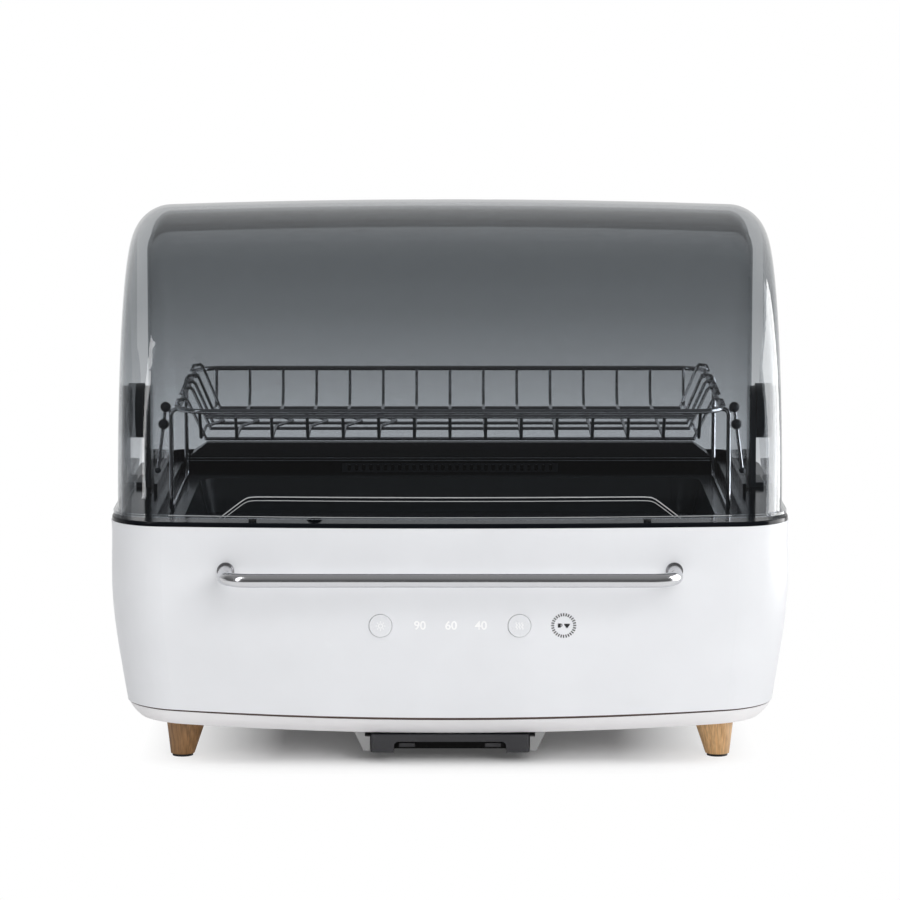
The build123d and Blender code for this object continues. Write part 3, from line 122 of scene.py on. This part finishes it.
def mouldedFinish(name, tone, gloss, **own):
    # a moulded or turned surface: faint tone drift, uneven gloss and a fine grain in the bump
    look = {**mouldedLook, **own}
    material, tree = newMaterial(name)
    drift = objectNoise(tree, look["driftScale"], look["driftDetail"], look["stretch"])
    secondTone = look.get("secondTone", [part * look["driftShade"] for part in tone])
    colour = mixed(tree, "RGBA", ranged(tree, drift, 0, 1), (*tone, 1), (*secondTone, 1))
    grain = objectNoise(tree, look["grainScale"], look["grainDetail"], look["stretch"])
    bump = addNode(tree, "Bump", {"Strength": look["bump"], "Distance": look["bumpDepth"], "Height": grain})
    shader = addNode(tree, "BsdfPrincipled", {
        "Base Color": colour, "Roughness": ranged(tree, grain, *gloss), "Metallic": look["metallic"],
        "IOR": look["ior"], "Coat Weight": look["coat"], "Coat Roughness": look["coatRoughness"],
        "Normal": bump.outputs["Normal"]})
    addNode(tree, "OutputMaterial", {"Surface": shader.outputs["BSDF"]})
    return material


oakLook = {"ringScale": 75.0, "ringBend": 3.5, "ringDetail": 2.0, "ringDetailScale": 1.0,
           "ringTurn": (0.05, 0.08, 0.5), "toneFrom": 0.2, "toneTo": 0.75,
           "figureScale": 60.0, "figureDetail": 3.0, "figureStretch": (1.0, 1.0, 0.16), "figureShare": 0.72,
           "poreScale": 900.0, "poreDetail": 4.0, "poreStretch": (1.0, 1.0, 0.05),
           "poreShade": (0.72, 1.08), "poreRange": (0.35, 0.62), "gloss": (0.62, 0.42),
           "coat": 0.12, "coatRoughness": 0.35, "bump": 0.25, "bumpDepth": 0.0003}


def woodFinish(name, dark, light, look):
    # rings cut lengthwise: bands across X mixed with slow noise, with fine pores along Z
    material, tree = newMaterial(name)
    turned = addNode(tree, "Mapping", {"Vector": objectPlace(tree), "Rotation": look["ringTurn"]})
    rings = addNode(tree, "TexWave", {
        "Vector": turned.outputs["Vector"], "Scale": look["ringScale"], "Distortion": look["ringBend"],
        "Detail": look["ringDetail"], "Detail Scale": look["ringDetailScale"]},
        wave_type="BANDS", bands_direction="X")
    slow = objectNoise(tree, look["figureScale"], look["figureDetail"], look["figureStretch"])
    figure = mixed(tree, "FLOAT", look["figureShare"], rings.outputs["Fac"], slow)
    toneShare = ranged(tree, figure, 0, 1, look["toneFrom"], look["toneTo"])
    tone = mixed(tree, "RGBA", toneShare, (*dark, 1), (*light, 1))
    pores = objectNoise(tree, look["poreScale"], look["poreDetail"], look["poreStretch"])
    shade = ranged(tree, pores, *look["poreShade"], *look["poreRange"])
    bump = addNode(tree, "Bump", {"Strength": look["bump"], "Distance": look["bumpDepth"], "Height": pores})
    shader = addNode(tree, "BsdfPrincipled", {
        "Base Color": mixed(tree, "RGBA", 1.0, tone, shade, "MULTIPLY"),
        "Roughness": ranged(tree, pores, *look["gloss"]), "Coat Weight": look["coat"],
        "Coat Roughness": look["coatRoughness"], "Normal": bump.outputs["Normal"]})
    addNode(tree, "OutputMaterial", {"Surface": shader.outputs["BSDF"]})
    return material


smokedLook = {"lowTint": (0.775, 0.79, 0.805), "highTint": (0.565, 0.58, 0.592),
              "tintFrom": 0.22, "tintTo": 0.345,
              "edgeBlend": 0.5, "edgePower": 5.0, "edgeShare": 0.9, "faceShare": 0.032,
              "hazeScale": 35.0, "hazeDetail": 2.0, "gloss": (0.02, 0.03)}


def smokedFinish(name, look):
    # clear smoked sheet: tinted see-through plus a mirror share that grows towards grazing sight
    material, tree = newMaterial(name)
    height = addNode(tree, "SeparateXYZ", {"Vector": objectPlace(tree)}).outputs["Z"]
    climb = ranged(tree, height, 0, 1, look["tintFrom"], look["tintTo"])
    tint = mixed(tree, "RGBA", climb, (*look["lowTint"], 1), (*look["highTint"], 1))
    through = addNode(tree, "BsdfTransparent", {"Color": tint})
    facing = addNode(tree, "LayerWeight", {"Blend": look["edgeBlend"]}).outputs["Facing"]
    edge = worked(tree, "POWER", facing, look["edgePower"])
    share = worked(tree, "MULTIPLY_ADD", edge, look["edgeShare"], look["faceShare"])
    haze = objectNoise(tree, look["hazeScale"], look["hazeDetail"])
    roughness = ranged(tree, haze, *look["gloss"])
    mirror = addNode(tree, "BsdfGlossy", {"Color": (1, 1, 1, 1), "Roughness": roughness})
    both = mixedShaders(tree, share, through.outputs["BSDF"], mirror.outputs["BSDF"])
    addNode(tree, "OutputMaterial", {"Surface": both})
    return material


glowLook = {"tone": (0.9, 0.9, 0.9), "glow": 0.12,
            "grainScale": 2500.0, "grainDetail": 2.0, "gloss": (0.35, 0.5)}


def glowFinish(name, look):
    # light print that also gives off a little light of its own
    material, tree = newMaterial(name)
    tone = (*look["tone"], 1)
    grain = objectNoise(tree, look["grainScale"], look["grainDetail"])
    shader = addNode(tree, "BsdfPrincipled", {
        "Base Color": tone, "Emission Color": tone, "Emission Strength": look["glow"],
        "Roughness": ranged(tree, grain, *look["gloss"])})
    addNode(tree, "OutputMaterial", {"Surface": shader.outputs["BSDF"]})
    return material


# a moulded finish has its tone, its range of roughness and what differs from mouldedLook
finishes = {
    "casing": mouldedFinish("casingWhite", (0.82, 0.83, 0.855), (0.32, 0.38), bump=0.02, ior=1.28),
    "pan": mouldedFinish("panWhite", (0.88, 0.87, 0.88), (0.42, 0.5)),
    "trim": mouldedFinish("trimBrown", (0.085, 0.05, 0.04), (0.35, 0.45)),
    "screws": mouldedFinish("screwSteel", (0.55, 0.55, 0.56), (0.3, 0.42), metallic=1.0),
    "rubber": mouldedFinish("footRubber", (0.025, 0.025, 0.025), (0.7, 0.85), bump=0.15),
    "black_gloss": mouldedFinish("rimBlack", (0.005, 0.006, 0.008), (0.10, 0.16), bump=0.0, ior=1.2),
    "basin_black": mouldedFinish("basinBlack", (0.045, 0.050, 0.055), (0.18, 0.24), bump=0.0, ior=1.2),
    "dark_plastic": mouldedFinish("armBlueBlack", (0.012, 0.017, 0.024), (0.38, 0.5), bump=0.1),
    "motor_steel": mouldedFinish("motorSteel", (0.5, 0.5, 0.5), (0.3, 0.45), metallic=1.0),
    "heater_metal": mouldedFinish("heaterFins", (0.7, 0.7, 0.7), (0.3, 0.45), metallic=1.0),
    "grey_plastic": mouldedFinish("railGrey", (0.30, 0.30, 0.30), (0.4, 0.5), bump=0.08),
    "board": mouldedFinish("boardGreen", (0.01, 0.07, 0.03), (0.3, 0.4)),
    "light_plastic": mouldedFinish("guideFrosted", (0.8, 0.8, 0.8), (0.4, 0.6)),
    "brushed": mouldedFinish("barBrushedSteel", (0.66, 0.66, 0.68), (0.14, 0.2), secondTone=(0.58, 0.58, 0.6),
                             metallic=1.0, bump=0.02, stretch=(0.02, 1, 1), grainScale=1400.0),
    "pin_steel": mouldedFinish("pinSteel", (0.6, 0.6, 0.62), (0.15, 0.25), metallic=1.0),
    "chrome_wire": mouldedFinish("wireChrome", (0.60, 0.60, 0.62), (0.1, 0.18), metallic=1.0, bump=0.03),
    "tray_grey": mouldedFinish("trayGrey", (0.024, 0.024, 0.028), (0.3, 0.36), bump=0.01),
    "button_white": mouldedFinish("buttonWhite", (0.80, 0.81, 0.835), (0.26, 0.32), bump=0.03),
    "lamp_glass": mouldedFinish("lampGlass", (0.7, 0.74, 0.8), (0.1, 0.15), coat=0.5),
    "oak": woodFinish("footOak", (0.60, 0.34, 0.14), (0.76, 0.48, 0.235), oakLook),
    # painted shade: a darker copy of the oak, for the feet on the side away from the light
    "oakPaintedShade": woodFinish("footOakPaintedShade", (0.25, 0.125, 0.042), (0.37, 0.195, 0.075), oakLook),
    "smoked": smokedFinish("hoodSmoked", smokedLook),
    "windowDark": mouldedFinish("windowDark", (0.003, 0.004, 0.006), (0.08, 0.12), bump=0.0, ior=1.12),
    # painted shade: a near-black finish for walls inside the tray's finger recess
    "recessPaintedShade": mouldedFinish("recessPaintedShade", (0.004, 0.004, 0.004), (0.4, 0.5), bump=0.0, ior=1.2),
    # painted highlight: a light finish for tubes along the lid's grip pad and lip, standing in for glints
    "lidPaintedHighlight": mouldedFinish("lidEdgePaintedHighlight", (0.42, 0.43, 0.44), (0.25, 0.35)),
    # painted highlight: a light finish for tubes along the rear ledge's shoulder
    "ledgePaintedHighlight": mouldedFinish("ledgeEdgePaintedHighlight", (0.20, 0.21, 0.22), (0.25, 0.35)),
    "printBlack": mouldedFinish("printBlack", (0.012, 0.012, 0.013), (0.5, 0.6)),
    "printWhite": glowFinish("printWhite", glowLook),
}
# nodes shown darker than their slot's finish: the lamp window and duct housing take a near-black glass, and
# the left feet a copy of the oak with painted shade
nodeFinish = {"lamp_window": "windowDark", "duct_housing": "windowDark",
              "foot_front_left": "oakPaintedShade", "foot_rear_left": "oakPaintedShade"}
slotOf = {entry["node"]: entry["material_slot"] for entry in frame["record"]["subparts"]}
for nodeName, node in frame["nodes"].items():
    for slot in node.material_slots:
        slot.material = finishes[nodeFinish.get(nodeName, slotOf[nodeName])]
print("finishes ready", len(finishes))


# pieces that the solids leave out, with their sizes in millimetres
def addPiece(name, mesh, finish, body):
    mesh.materials.append(finishes[finish])
    piece = bpy.data.objects.new(name, mesh)
    scene.collection.objects.link(piece)
    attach(piece, body)


def addSurface(name, corners, faces, finish, body):
    mesh = bpy.data.meshes.new(name)
    mesh.from_pydata(corners.tolist(), [], faces.tolist())
    addPiece(name, mesh, finish, body)


def gridFaces(rows, columns, wrap):
    # quads of a grid of corners, closed round its columns when wrap is set
    row = np.arange(rows - 1)[:, None] * columns
    column = np.arange(columns if wrap else columns - 1)[None, :]
    after = (column + 1) % columns
    quads = [row + column, row + after, row + columns + after, row + columns + column]
    return np.stack(quads, axis=-1).reshape(-1, 4)


def directions(path):
    # unit vectors along a path of points
    along = np.gradient(path, axis=0)
    return along / np.linalg.norm(along, axis=1, keepdims=True)


def addTube(name, path, radius, finish, body, sides=10):
    # circle of the given radius carried along the path, upright to it, in a frame that leans on the Y axis
    along = directions(path)
    lean = np.array([0.0, 1.0, 0.0]) - along * along[:, 1:2]
    lean /= np.linalg.norm(lean, axis=1, keepdims=True)
    across = np.cross(along, lean)
    turn = np.linspace(0, 2 * math.pi, sides, endpoint=False)[None, :, None]
    ring = path[:, None, :] + radius * (np.cos(turn) * lean[:, None, :] + np.sin(turn) * across[:, None, :])
    addSurface(name, ring.reshape(-1, 3) * mm, gridFaces(len(path), sides, True), finish, body)


lid = {"hingeY": 52.0, "springing": 190.0, "halfWidth": 255.0,
       "reach": 216.0, "reachDrop": 17.0, "rise": 228.0, "crownDrop": 5.0}
# the inner painted highlight is a thinner copy of the outer one, set in from it and a little more so at the
# slanted sides
grip = {"bottomHalf": 175.0, "topHalf": 154.0, "bottom": 190.8, "top": 207.4, "relief": 1.6, "corner": 2.4,
        "radius": 0.42, "inset": 2.8, "sideInsetShare": 1.25, "innerRadiusShare": 0.7, "steps": 260}
lip = {"half": 214.0, "height": 192.4, "out": 3.5, "radius": 0.3, "steps": 120}


def lidFront(x, z, out):
    # points on the lid's outside, an ellipse round the hinge line whose reach shrinks towards the sides
    share = (x / lid["halfWidth"]) ** 2
    reach = lid["reach"] - lid["reachDrop"] * share + out
    rise = lid["rise"] - lid["crownDrop"] * share + out
    y = lid["hingeY"] - reach * np.sqrt(1 - ((z - lid["springing"]) / rise) ** 2)
    return np.stack([x, y, z], axis=1)


def gripPath(inset):
    # the pad's outline as a smooth lower bound of its slanted sides and its level top
    slope = (grip["top"] - grip["bottom"]) / (grip["bottomHalf"] - grip["topHalf"])
    half = grip["bottomHalf"] - inset * grip["sideInsetShare"]
    x = np.linspace(-half, half, grip["steps"])
    side = grip["bottom"] + slope * (half - np.abs(x))
    level = grip["top"] - inset
    z = (level + side - np.sqrt((level - side) ** 2 + grip["corner"] ** 2)) / 2
    return lidFront(x, z, grip["relief"])


def lipPath():
    x = np.linspace(-lip["half"], lip["half"], lip["steps"])
    return lidFront(x, np.full_like(x, lip["height"]), lip["out"])


# painted highlights: light tubes along the grip pad's outer and inner edges and along the lid's lip
innerRadius = grip["radius"] * grip["innerRadiusShare"]
addTube("gripOuterPaintedHighlight", gripPath(0.0), grip["radius"], "lidPaintedHighlight", "lid")
addTube("gripInnerPaintedHighlight", gripPath(grip["inset"]), innerRadius, "lidPaintedHighlight", "lid")
addTube("lipPaintedHighlight", lipPath(), lip["radius"], "lidPaintedHighlight", "lid")

# painted highlights: two light tubes along the rear ledge's shoulder, standing in for glints on its edge
ledge = {"front": 166.0, "shoulder": 192.0, "slopeBack": 191.0, "top": 204.0, "half": 217.0, "radius": 0.35,
         "steps": 60, "lines": {"ledgePaintedHighlightLow": 0.0, "ledgePaintedHighlightHigh": 0.14}}


def ledgePath(share):
    # level painted highlight at a share of the way up the rear ledge's slope
    x = np.linspace(-ledge["half"], ledge["half"], ledge["steps"])
    y = ledge["front"] + share * (ledge["slopeBack"] - ledge["front"])
    z = ledge["shoulder"] + share * (ledge["top"] - ledge["shoulder"])
    return np.stack([x, np.full_like(x, y), np.full_like(x, z)], axis=1)


for name, share in ledge["lines"].items():
    addTube(name, ledgePath(share), ledge["radius"], "ledgePaintedHighlight", "base")
print("edge lines ready")

casingPatch = {"across": (-110, -75, -30, 0, 30, 75, 110), "up": (97, 104, 111, 118, 124), "startY": -400}
prints = {"height": 110.5, "lift": 0.08}


def fittedFront(node, patch):
    # least-squares surface y = a + b x^2 + c z + d z^2 through points met on the node from the front
    surface = BVHTree.FromObject(frame["nodes"][node], bpy.context.evaluated_depsgraph_get())
    starts = [(x * mm, patch["startY"] * mm, z * mm) for x in patch["across"] for z in patch["up"]]
    met = np.array([surface.ray_cast(start, (0, 1, 0))[0] for start in starts])
    terms = np.stack([np.ones(len(met)), met[:, 0] ** 2, met[:, 2], met[:, 2] ** 2], axis=1)
    a, b, c, d = np.linalg.lstsq(terms, met[:, 1], rcond=None)[0]
    return lambda x, z: a + b * x ** 2 + c * z + d * z ** 2


def levelFront(node):
    # flat upright surface at the node's front
    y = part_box(node)[0].y
    return lambda x, z: np.full_like(x, y)


def stoodUp(planar, front):
    # flat points stood up a hair in front of the surface that they are printed on
    x, z = planar[:, 0], planar[:, 1]
    return np.stack([x, front(x, z) - prints["lift"] * mm, z], axis=1)


def ribbon(path, width):
    # flat strip of even width along a path in the front plane, its faces towards the viewer
    path = np.array(path)
    along = directions(path)
    side = np.stack([-along[:, 1], along[:, 0]], axis=1) * width / 2
    planar = np.stack([path + side, path - side], axis=1).reshape(-1, 2)
    return planar, gridFaces(len(path), 2, False)


def joined(parts):
    # flat shapes as one, the faces of each counted on from the corners before it
    offsets = np.cumsum([0] + [len(planar) for planar, _ in parts[:-1]])
    corners = np.concatenate([planar for planar, _ in parts])
    faces = np.concatenate([faces + offset for (_, faces), offset in zip(parts, offsets)])
    return corners, faces


def addSign(name, parts, x, front, finish, body):
    # flat shapes round the middle (x, prints height) as one piece
    planar, faces = joined(parts)
    planar = planar * mm + (x, prints["height"] * mm)
    addSurface(name, stoodUp(planar, front), faces, finish, body)


casingFront = fittedFront("body_shell", casingPatch)
digits = {"size": 9.2, "weight": 0.16, "places": {"90": -22.8, "60": 0.8, "40": 23.5}}


def addDigits(label, x):
    # figures drawn flat and made a mesh, then stood up on the casing's front
    name = "digits" + label
    curve = bpy.data.curves.new(name, "FONT")
    curve.body = label
    curve.size = digits["size"] * mm
    curve.align_x = "CENTER"
    curve.align_y = "CENTER"
    curve.offset = digits["weight"] * mm
    drawn = bpy.data.objects.new(name, curve)
    scene.collection.objects.link(drawn)
    mesh = bpy.data.meshes.new_from_object(drawn.evaluated_get(bpy.context.evaluated_depsgraph_get()))
    bpy.data.objects.remove(drawn)
    flat = np.zeros(len(mesh.vertices) * 3)
    mesh.vertices.foreach_get("co", flat)
    planar = flat.reshape(-1, 3)[:, :2] + (x * mm, prints["height"] * mm)
    mesh.vertices.foreach_set("co", stoodUp(planar, casingFront).reshape(-1))
    mesh.materials.clear()
    addPiece(name, mesh, "printWhite", "base")


for label, x in digits["places"].items():
    addDigits(label, x)

# a ring of ticks with a cup at the left and a bowl at the right; a layer is its length, height and thickness
dial = {"x": 86.2, "inner": 7.2, "outer": 9.6, "ticks": 28, "width": 0.92,
        "cup": {"x": -3.3, "half": 1.6, "width": 2.3},
        "handle": {"x": -2.1, "height": 0.3, "radius": 0.9, "width": 0.6, "steps": 16},
        "bowl": {"x": 2.5, "layers": ((4.4, 0.9, 0.95), (3.6, 0.0, 0.95),
                                      (2.2, -0.9, 0.95), (1.6, -1.75, 0.5))}}


def dialTicks(look):
    # short bars on a circle, each pointing away from its middle
    turns = np.arange(look["ticks"]) * 2 * math.pi / look["ticks"]
    ways = np.stack([np.cos(turns), np.sin(turns)], axis=1)
    sides = np.stack([-ways[:, 1], ways[:, 0]], axis=1) * look["width"] / 2
    inner, outer = ways * look["inner"], ways * look["outer"]
    corners = np.stack([outer - sides, outer + sides, inner + sides, inner - sides], axis=1).reshape(-1, 2)
    return corners, np.arange(len(corners)).reshape(-1, 4)


def cupAndBowl(look):
    cup, handle, bowl = look["cup"], look["handle"], look["bowl"]
    turn = np.linspace(-math.pi / 2, math.pi / 2, handle["steps"])
    arc = np.stack([handle["x"] + handle["radius"] * np.cos(turn),
                    handle["height"] + handle["radius"] * np.sin(turn)], axis=1)
    parts = [ribbon([[cup["x"], -cup["half"]], [cup["x"], cup["half"]]], cup["width"]),
             ribbon(arc, handle["width"])]
    for length, level, thickness in bowl["layers"]:
        ends = [[bowl["x"] - length / 2, level], [bowl["x"] + length / 2, level]]
        parts.append(ribbon(ends, thickness))
    return parts


dialParts = [dialTicks(dial)] + cupAndBowl(dial)
addSign("dialMark", dialParts, dial["x"] * mm, casingFront, "printBlack", "base")

lampLook = {"radius": 1.6, "rayInner": 2.5, "rayOuter": 3.7, "rays": 8, "line": 0.55, "steps": 40}
waveLook = {"places": (-2.2, 0.0, 2.2), "height": 5.2, "swing": 0.55, "turn": 2.4, "line": 0.55, "steps": 40}


def lampSign(look):
    # a ring with rays round it
    turn = np.linspace(0, 2 * math.pi, look["steps"])
    ring = look["radius"] * np.stack([np.cos(turn), np.sin(turn)], axis=1)
    parts = [ribbon(ring, look["line"])]
    for turn in np.arange(look["rays"]) * 2 * math.pi / look["rays"]:
        ray = np.outer([look["rayInner"], look["rayOuter"]], [math.cos(turn), math.sin(turn)])
        parts.append(ribbon(ray, look["line"]))
    return parts


def waveSign(look):
    # upright sine lines side by side
    rise = np.linspace(-look["height"] / 2, look["height"] / 2, look["steps"])
    swing = look["swing"] * np.sin(rise * look["turn"])
    return [ribbon(np.stack([place + swing, rise], axis=1), look["line"]) for place in look["places"]]


def addButtonSign(name, parts, button):
    low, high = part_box(button)
    addSign(name, parts, (low.x + high.x) / 2, levelFront(button), "printWhite", button)


addButtonSign("lampIcon", lampSign(lampLook), "sterilise_button")
addButtonSign("waveIcon", waveSign(waveLook), "dry_button")

ribs = {"x": (27.0, 39.0), "y": (-146.0, -137.0), "z": (11.6, 14.6)}
recess = {"x": (-42.85, 42.85), "y": (-152.4, -137.1), "z": (8.75, 16.92)}
boxFaces = {"left": (0, 1, 3, 2), "right": (4, 6, 7, 5), "front": (0, 4, 5, 1),
            "back": (2, 3, 7, 6), "bottom": (0, 2, 6, 4), "top": (1, 5, 7, 3)}  # each points outwards


def boxCorners(x, y, z):
    # the eight corners of a box, z changing fastest
    return np.array([(a, b, c) for a in x for b in y for c in z]) * mm


def addTrayRib(name, side):
    corners = boxCorners(sorted(side * x for x in ribs["x"]), ribs["y"], ribs["z"])
    addSurface(name, corners, np.array(list(boxFaces.values())), "tray_grey", "drip_tray")


def addRecessPaintedShade():
    # thin dark walls against the inside of the tray's finger recess, turned to face into it: painted shade
    # that darkens the recess
    faces = np.array([boxFaces[side][::-1] for side in ("back", "top", "left", "right")])
    addSurface("recessPaintedShadeLining", boxCorners(**recess), faces, "recessPaintedShade", "drip_tray")


addTrayRib("trayRibLeft", -1)
addTrayRib("trayRibRight", 1)
addRecessPaintedShade()
print("prints and ribs ready")

# in metres; the footprint is the middle, half size and soft edge of the shadow's rectangle on each axis
studio = {"half": 30.0, "behind": 20.0, "tone": 0.93, "glow": 1.0, "shadowGlow": 0.06,
          "footprint": {"X": (0.0, 0.13, 0.11), "Y": (0.02, 0.15, 0.07)},
          "mirroredFront": 0.08, "mirroredBack": 0.95, "mirroredY": (-0.6, 0.3), "farFrom": (0.6, 1.1)}


def seenDirectly(tree):
    # one for what the camera sees, also through a clear sheet
    rays = addNode(tree, "LightPath", {}).outputs
    return worked(tree, "MAXIMUM", rays["Is Camera Ray"], rays["Is Transmission Ray"])


def floorFinish(look):
    # white to the camera away from the object, and matte in its footprint, where the shadow shows
    material, tree = newMaterial("studioFloor")
    place = objectPlace(tree)
    split = addNode(tree, "SeparateXYZ", {"Vector": place}).outputs
    outside = {}
    for axis, (middle, half, edge) in look["footprint"].items():
        offset = worked(tree, "ABSOLUTE", worked(tree, "SUBTRACT", split[axis], middle))
        outside[axis] = ranged(tree, offset, 0, 1, half, half + edge)
    outsideVector = addNode(tree, "CombineXYZ", outside).outputs["Vector"]
    distance = addNode(tree, "VectorMath", {0: outsideVector}, operation="LENGTH").outputs["Value"]
    spread = ranged(tree, distance, look["shadowGlow"], 1.0, 0, 1)
    glowShare = worked(tree, "MULTIPLY", seenDirectly(tree), spread)
    matte = addNode(tree, "BsdfDiffuse", {"Color": (look["tone"], look["tone"], look["tone"], 1)})
    glow = addNode(tree, "Emission", {"Strength": look["glow"]})
    near = mixedShaders(tree, glowShare, matte.outputs["BSDF"], glow.outputs["Emission"])
    # a mirror finds the far floor plain: dim in front of the object and white behind it
    level = ranged(tree, split["Y"], look["mirroredFront"], look["mirroredBack"], *look["mirroredY"])
    plain = addNode(tree, "Emission", {"Strength": level}).outputs["Emission"]
    reach = addNode(tree, "VectorMath", {0: place}, operation="LENGTH").outputs["Value"]
    mirrors = addNode(tree, "LightPath", {}).outputs["Is Glossy Ray"]
    farShare = worked(tree, "MULTIPLY", mirrors, ranged(tree, reach, 0, 1, *look["farFrom"]))
    addNode(tree, "OutputMaterial", {"Surface": mixedShaders(tree, farShare, near, plain)})
    return material


def addFloor(look):
    half, back = look["half"], look["half"] + look["behind"]
    corners = [(-half, -half, 0), (half, -half, 0), (half, back, 0), (-half, back, 0)]
    mesh = bpy.data.meshes.new("studioFloor")
    mesh.from_pydata(corners, [], [(0, 1, 2, 3)])
    mesh.materials.append(floorFinish(look))
    floor = bpy.data.objects.new("studioFloor", mesh)
    scene.collection.objects.link(floor)


sky = {"upwards": (0.25, 0.85), "backwards": (0.1, 0.6), "seen": 1.0,
       "soft": {"front": 0.35, "above": 1.0, "behind": 0.8},
       "mirrored": {"front": 0.16, "above": 0.4, "behind": 0.95}}


def addSky(look):
    # white to the camera; a mirror sees it bright behind and dim in front; the rest lights softly
    world = bpy.data.worlds.new("studioWorld")
    world.use_nodes = True
    tree = world.node_tree
    tree.nodes.clear()
    direction = addNode(tree, "TexCoord", {}).outputs["Generated"]
    split = addNode(tree, "SeparateXYZ", {"Vector": direction}).outputs

    def field(part):
        above = ranged(tree, split["Z"], part["front"], part["above"], *look["upwards"])
        behind = ranged(tree, split["Y"], part["front"], part["behind"], *look["backwards"])
        return worked(tree, "MAXIMUM", above, behind)

    mirrors = addNode(tree, "LightPath", {}).outputs["Is Glossy Ray"]
    level = mixed(tree, "FLOAT", mirrors, field(look["soft"]), field(look["mirrored"]))
    strength = mixed(tree, "FLOAT", seenDirectly(tree), level, look["seen"])
    back = addNode(tree, "Background", {"Strength": strength})
    addNode(tree, "OutputWorld", {"Surface": back.outputs["Background"]})
    scene.world = world


# in metres and watts; a strip is seen only in mirrors, and the other lamps only light the object
lamps = {
    "keyAbove": {"place": (0.8, -0.6, 2.6), "aim": (0, 0, 0.1),
                 "size": (2.4, 1.8), "power": 30, "strip": False},
    "frontFill": {"place": (1.5, -3.1, 1.7), "aim": (0, 0, 0.15),
                  "size": (2.2, 1.4), "power": 38, "strip": False},
    "rightStrip": {"place": (0.95, 0.16, 0.38), "aim": (0, 0.16, 0.38),
                   "size": (0.85, 0.74), "power": 16, "strip": True},
    "leftStrip": {"place": (-1.5, -1.6, 1.3), "aim": (0, 0, 0.25),
                  "size": (0.35, 2.6), "power": 18, "strip": True},
}


def addLamp(name, look):
    # a rectangular lamp at its place, turned towards its aim
    light = bpy.data.lights.new(name, "AREA")
    light.shape = "RECTANGLE"
    light.size, light.size_y = look["size"]
    light.energy = look["power"]
    lamp = bpy.data.objects.new(name, light)
    lamp.location = look["place"]
    x, y, z = np.array(look["aim"], float) - np.array(look["place"], float)
    lamp.rotation_euler = (math.atan2(math.hypot(x, y), -z), 0, math.atan2(-x, y))
    lamp.visible_diffuse = not look["strip"]
    lamp.visible_glossy = look["strip"]
    lamp.visible_camera = False
    scene.collection.objects.link(lamp)


addFloor(studio)
addSky(sky)
for name, look in lamps.items():
    addLamp(name, look)
print("studio ready")
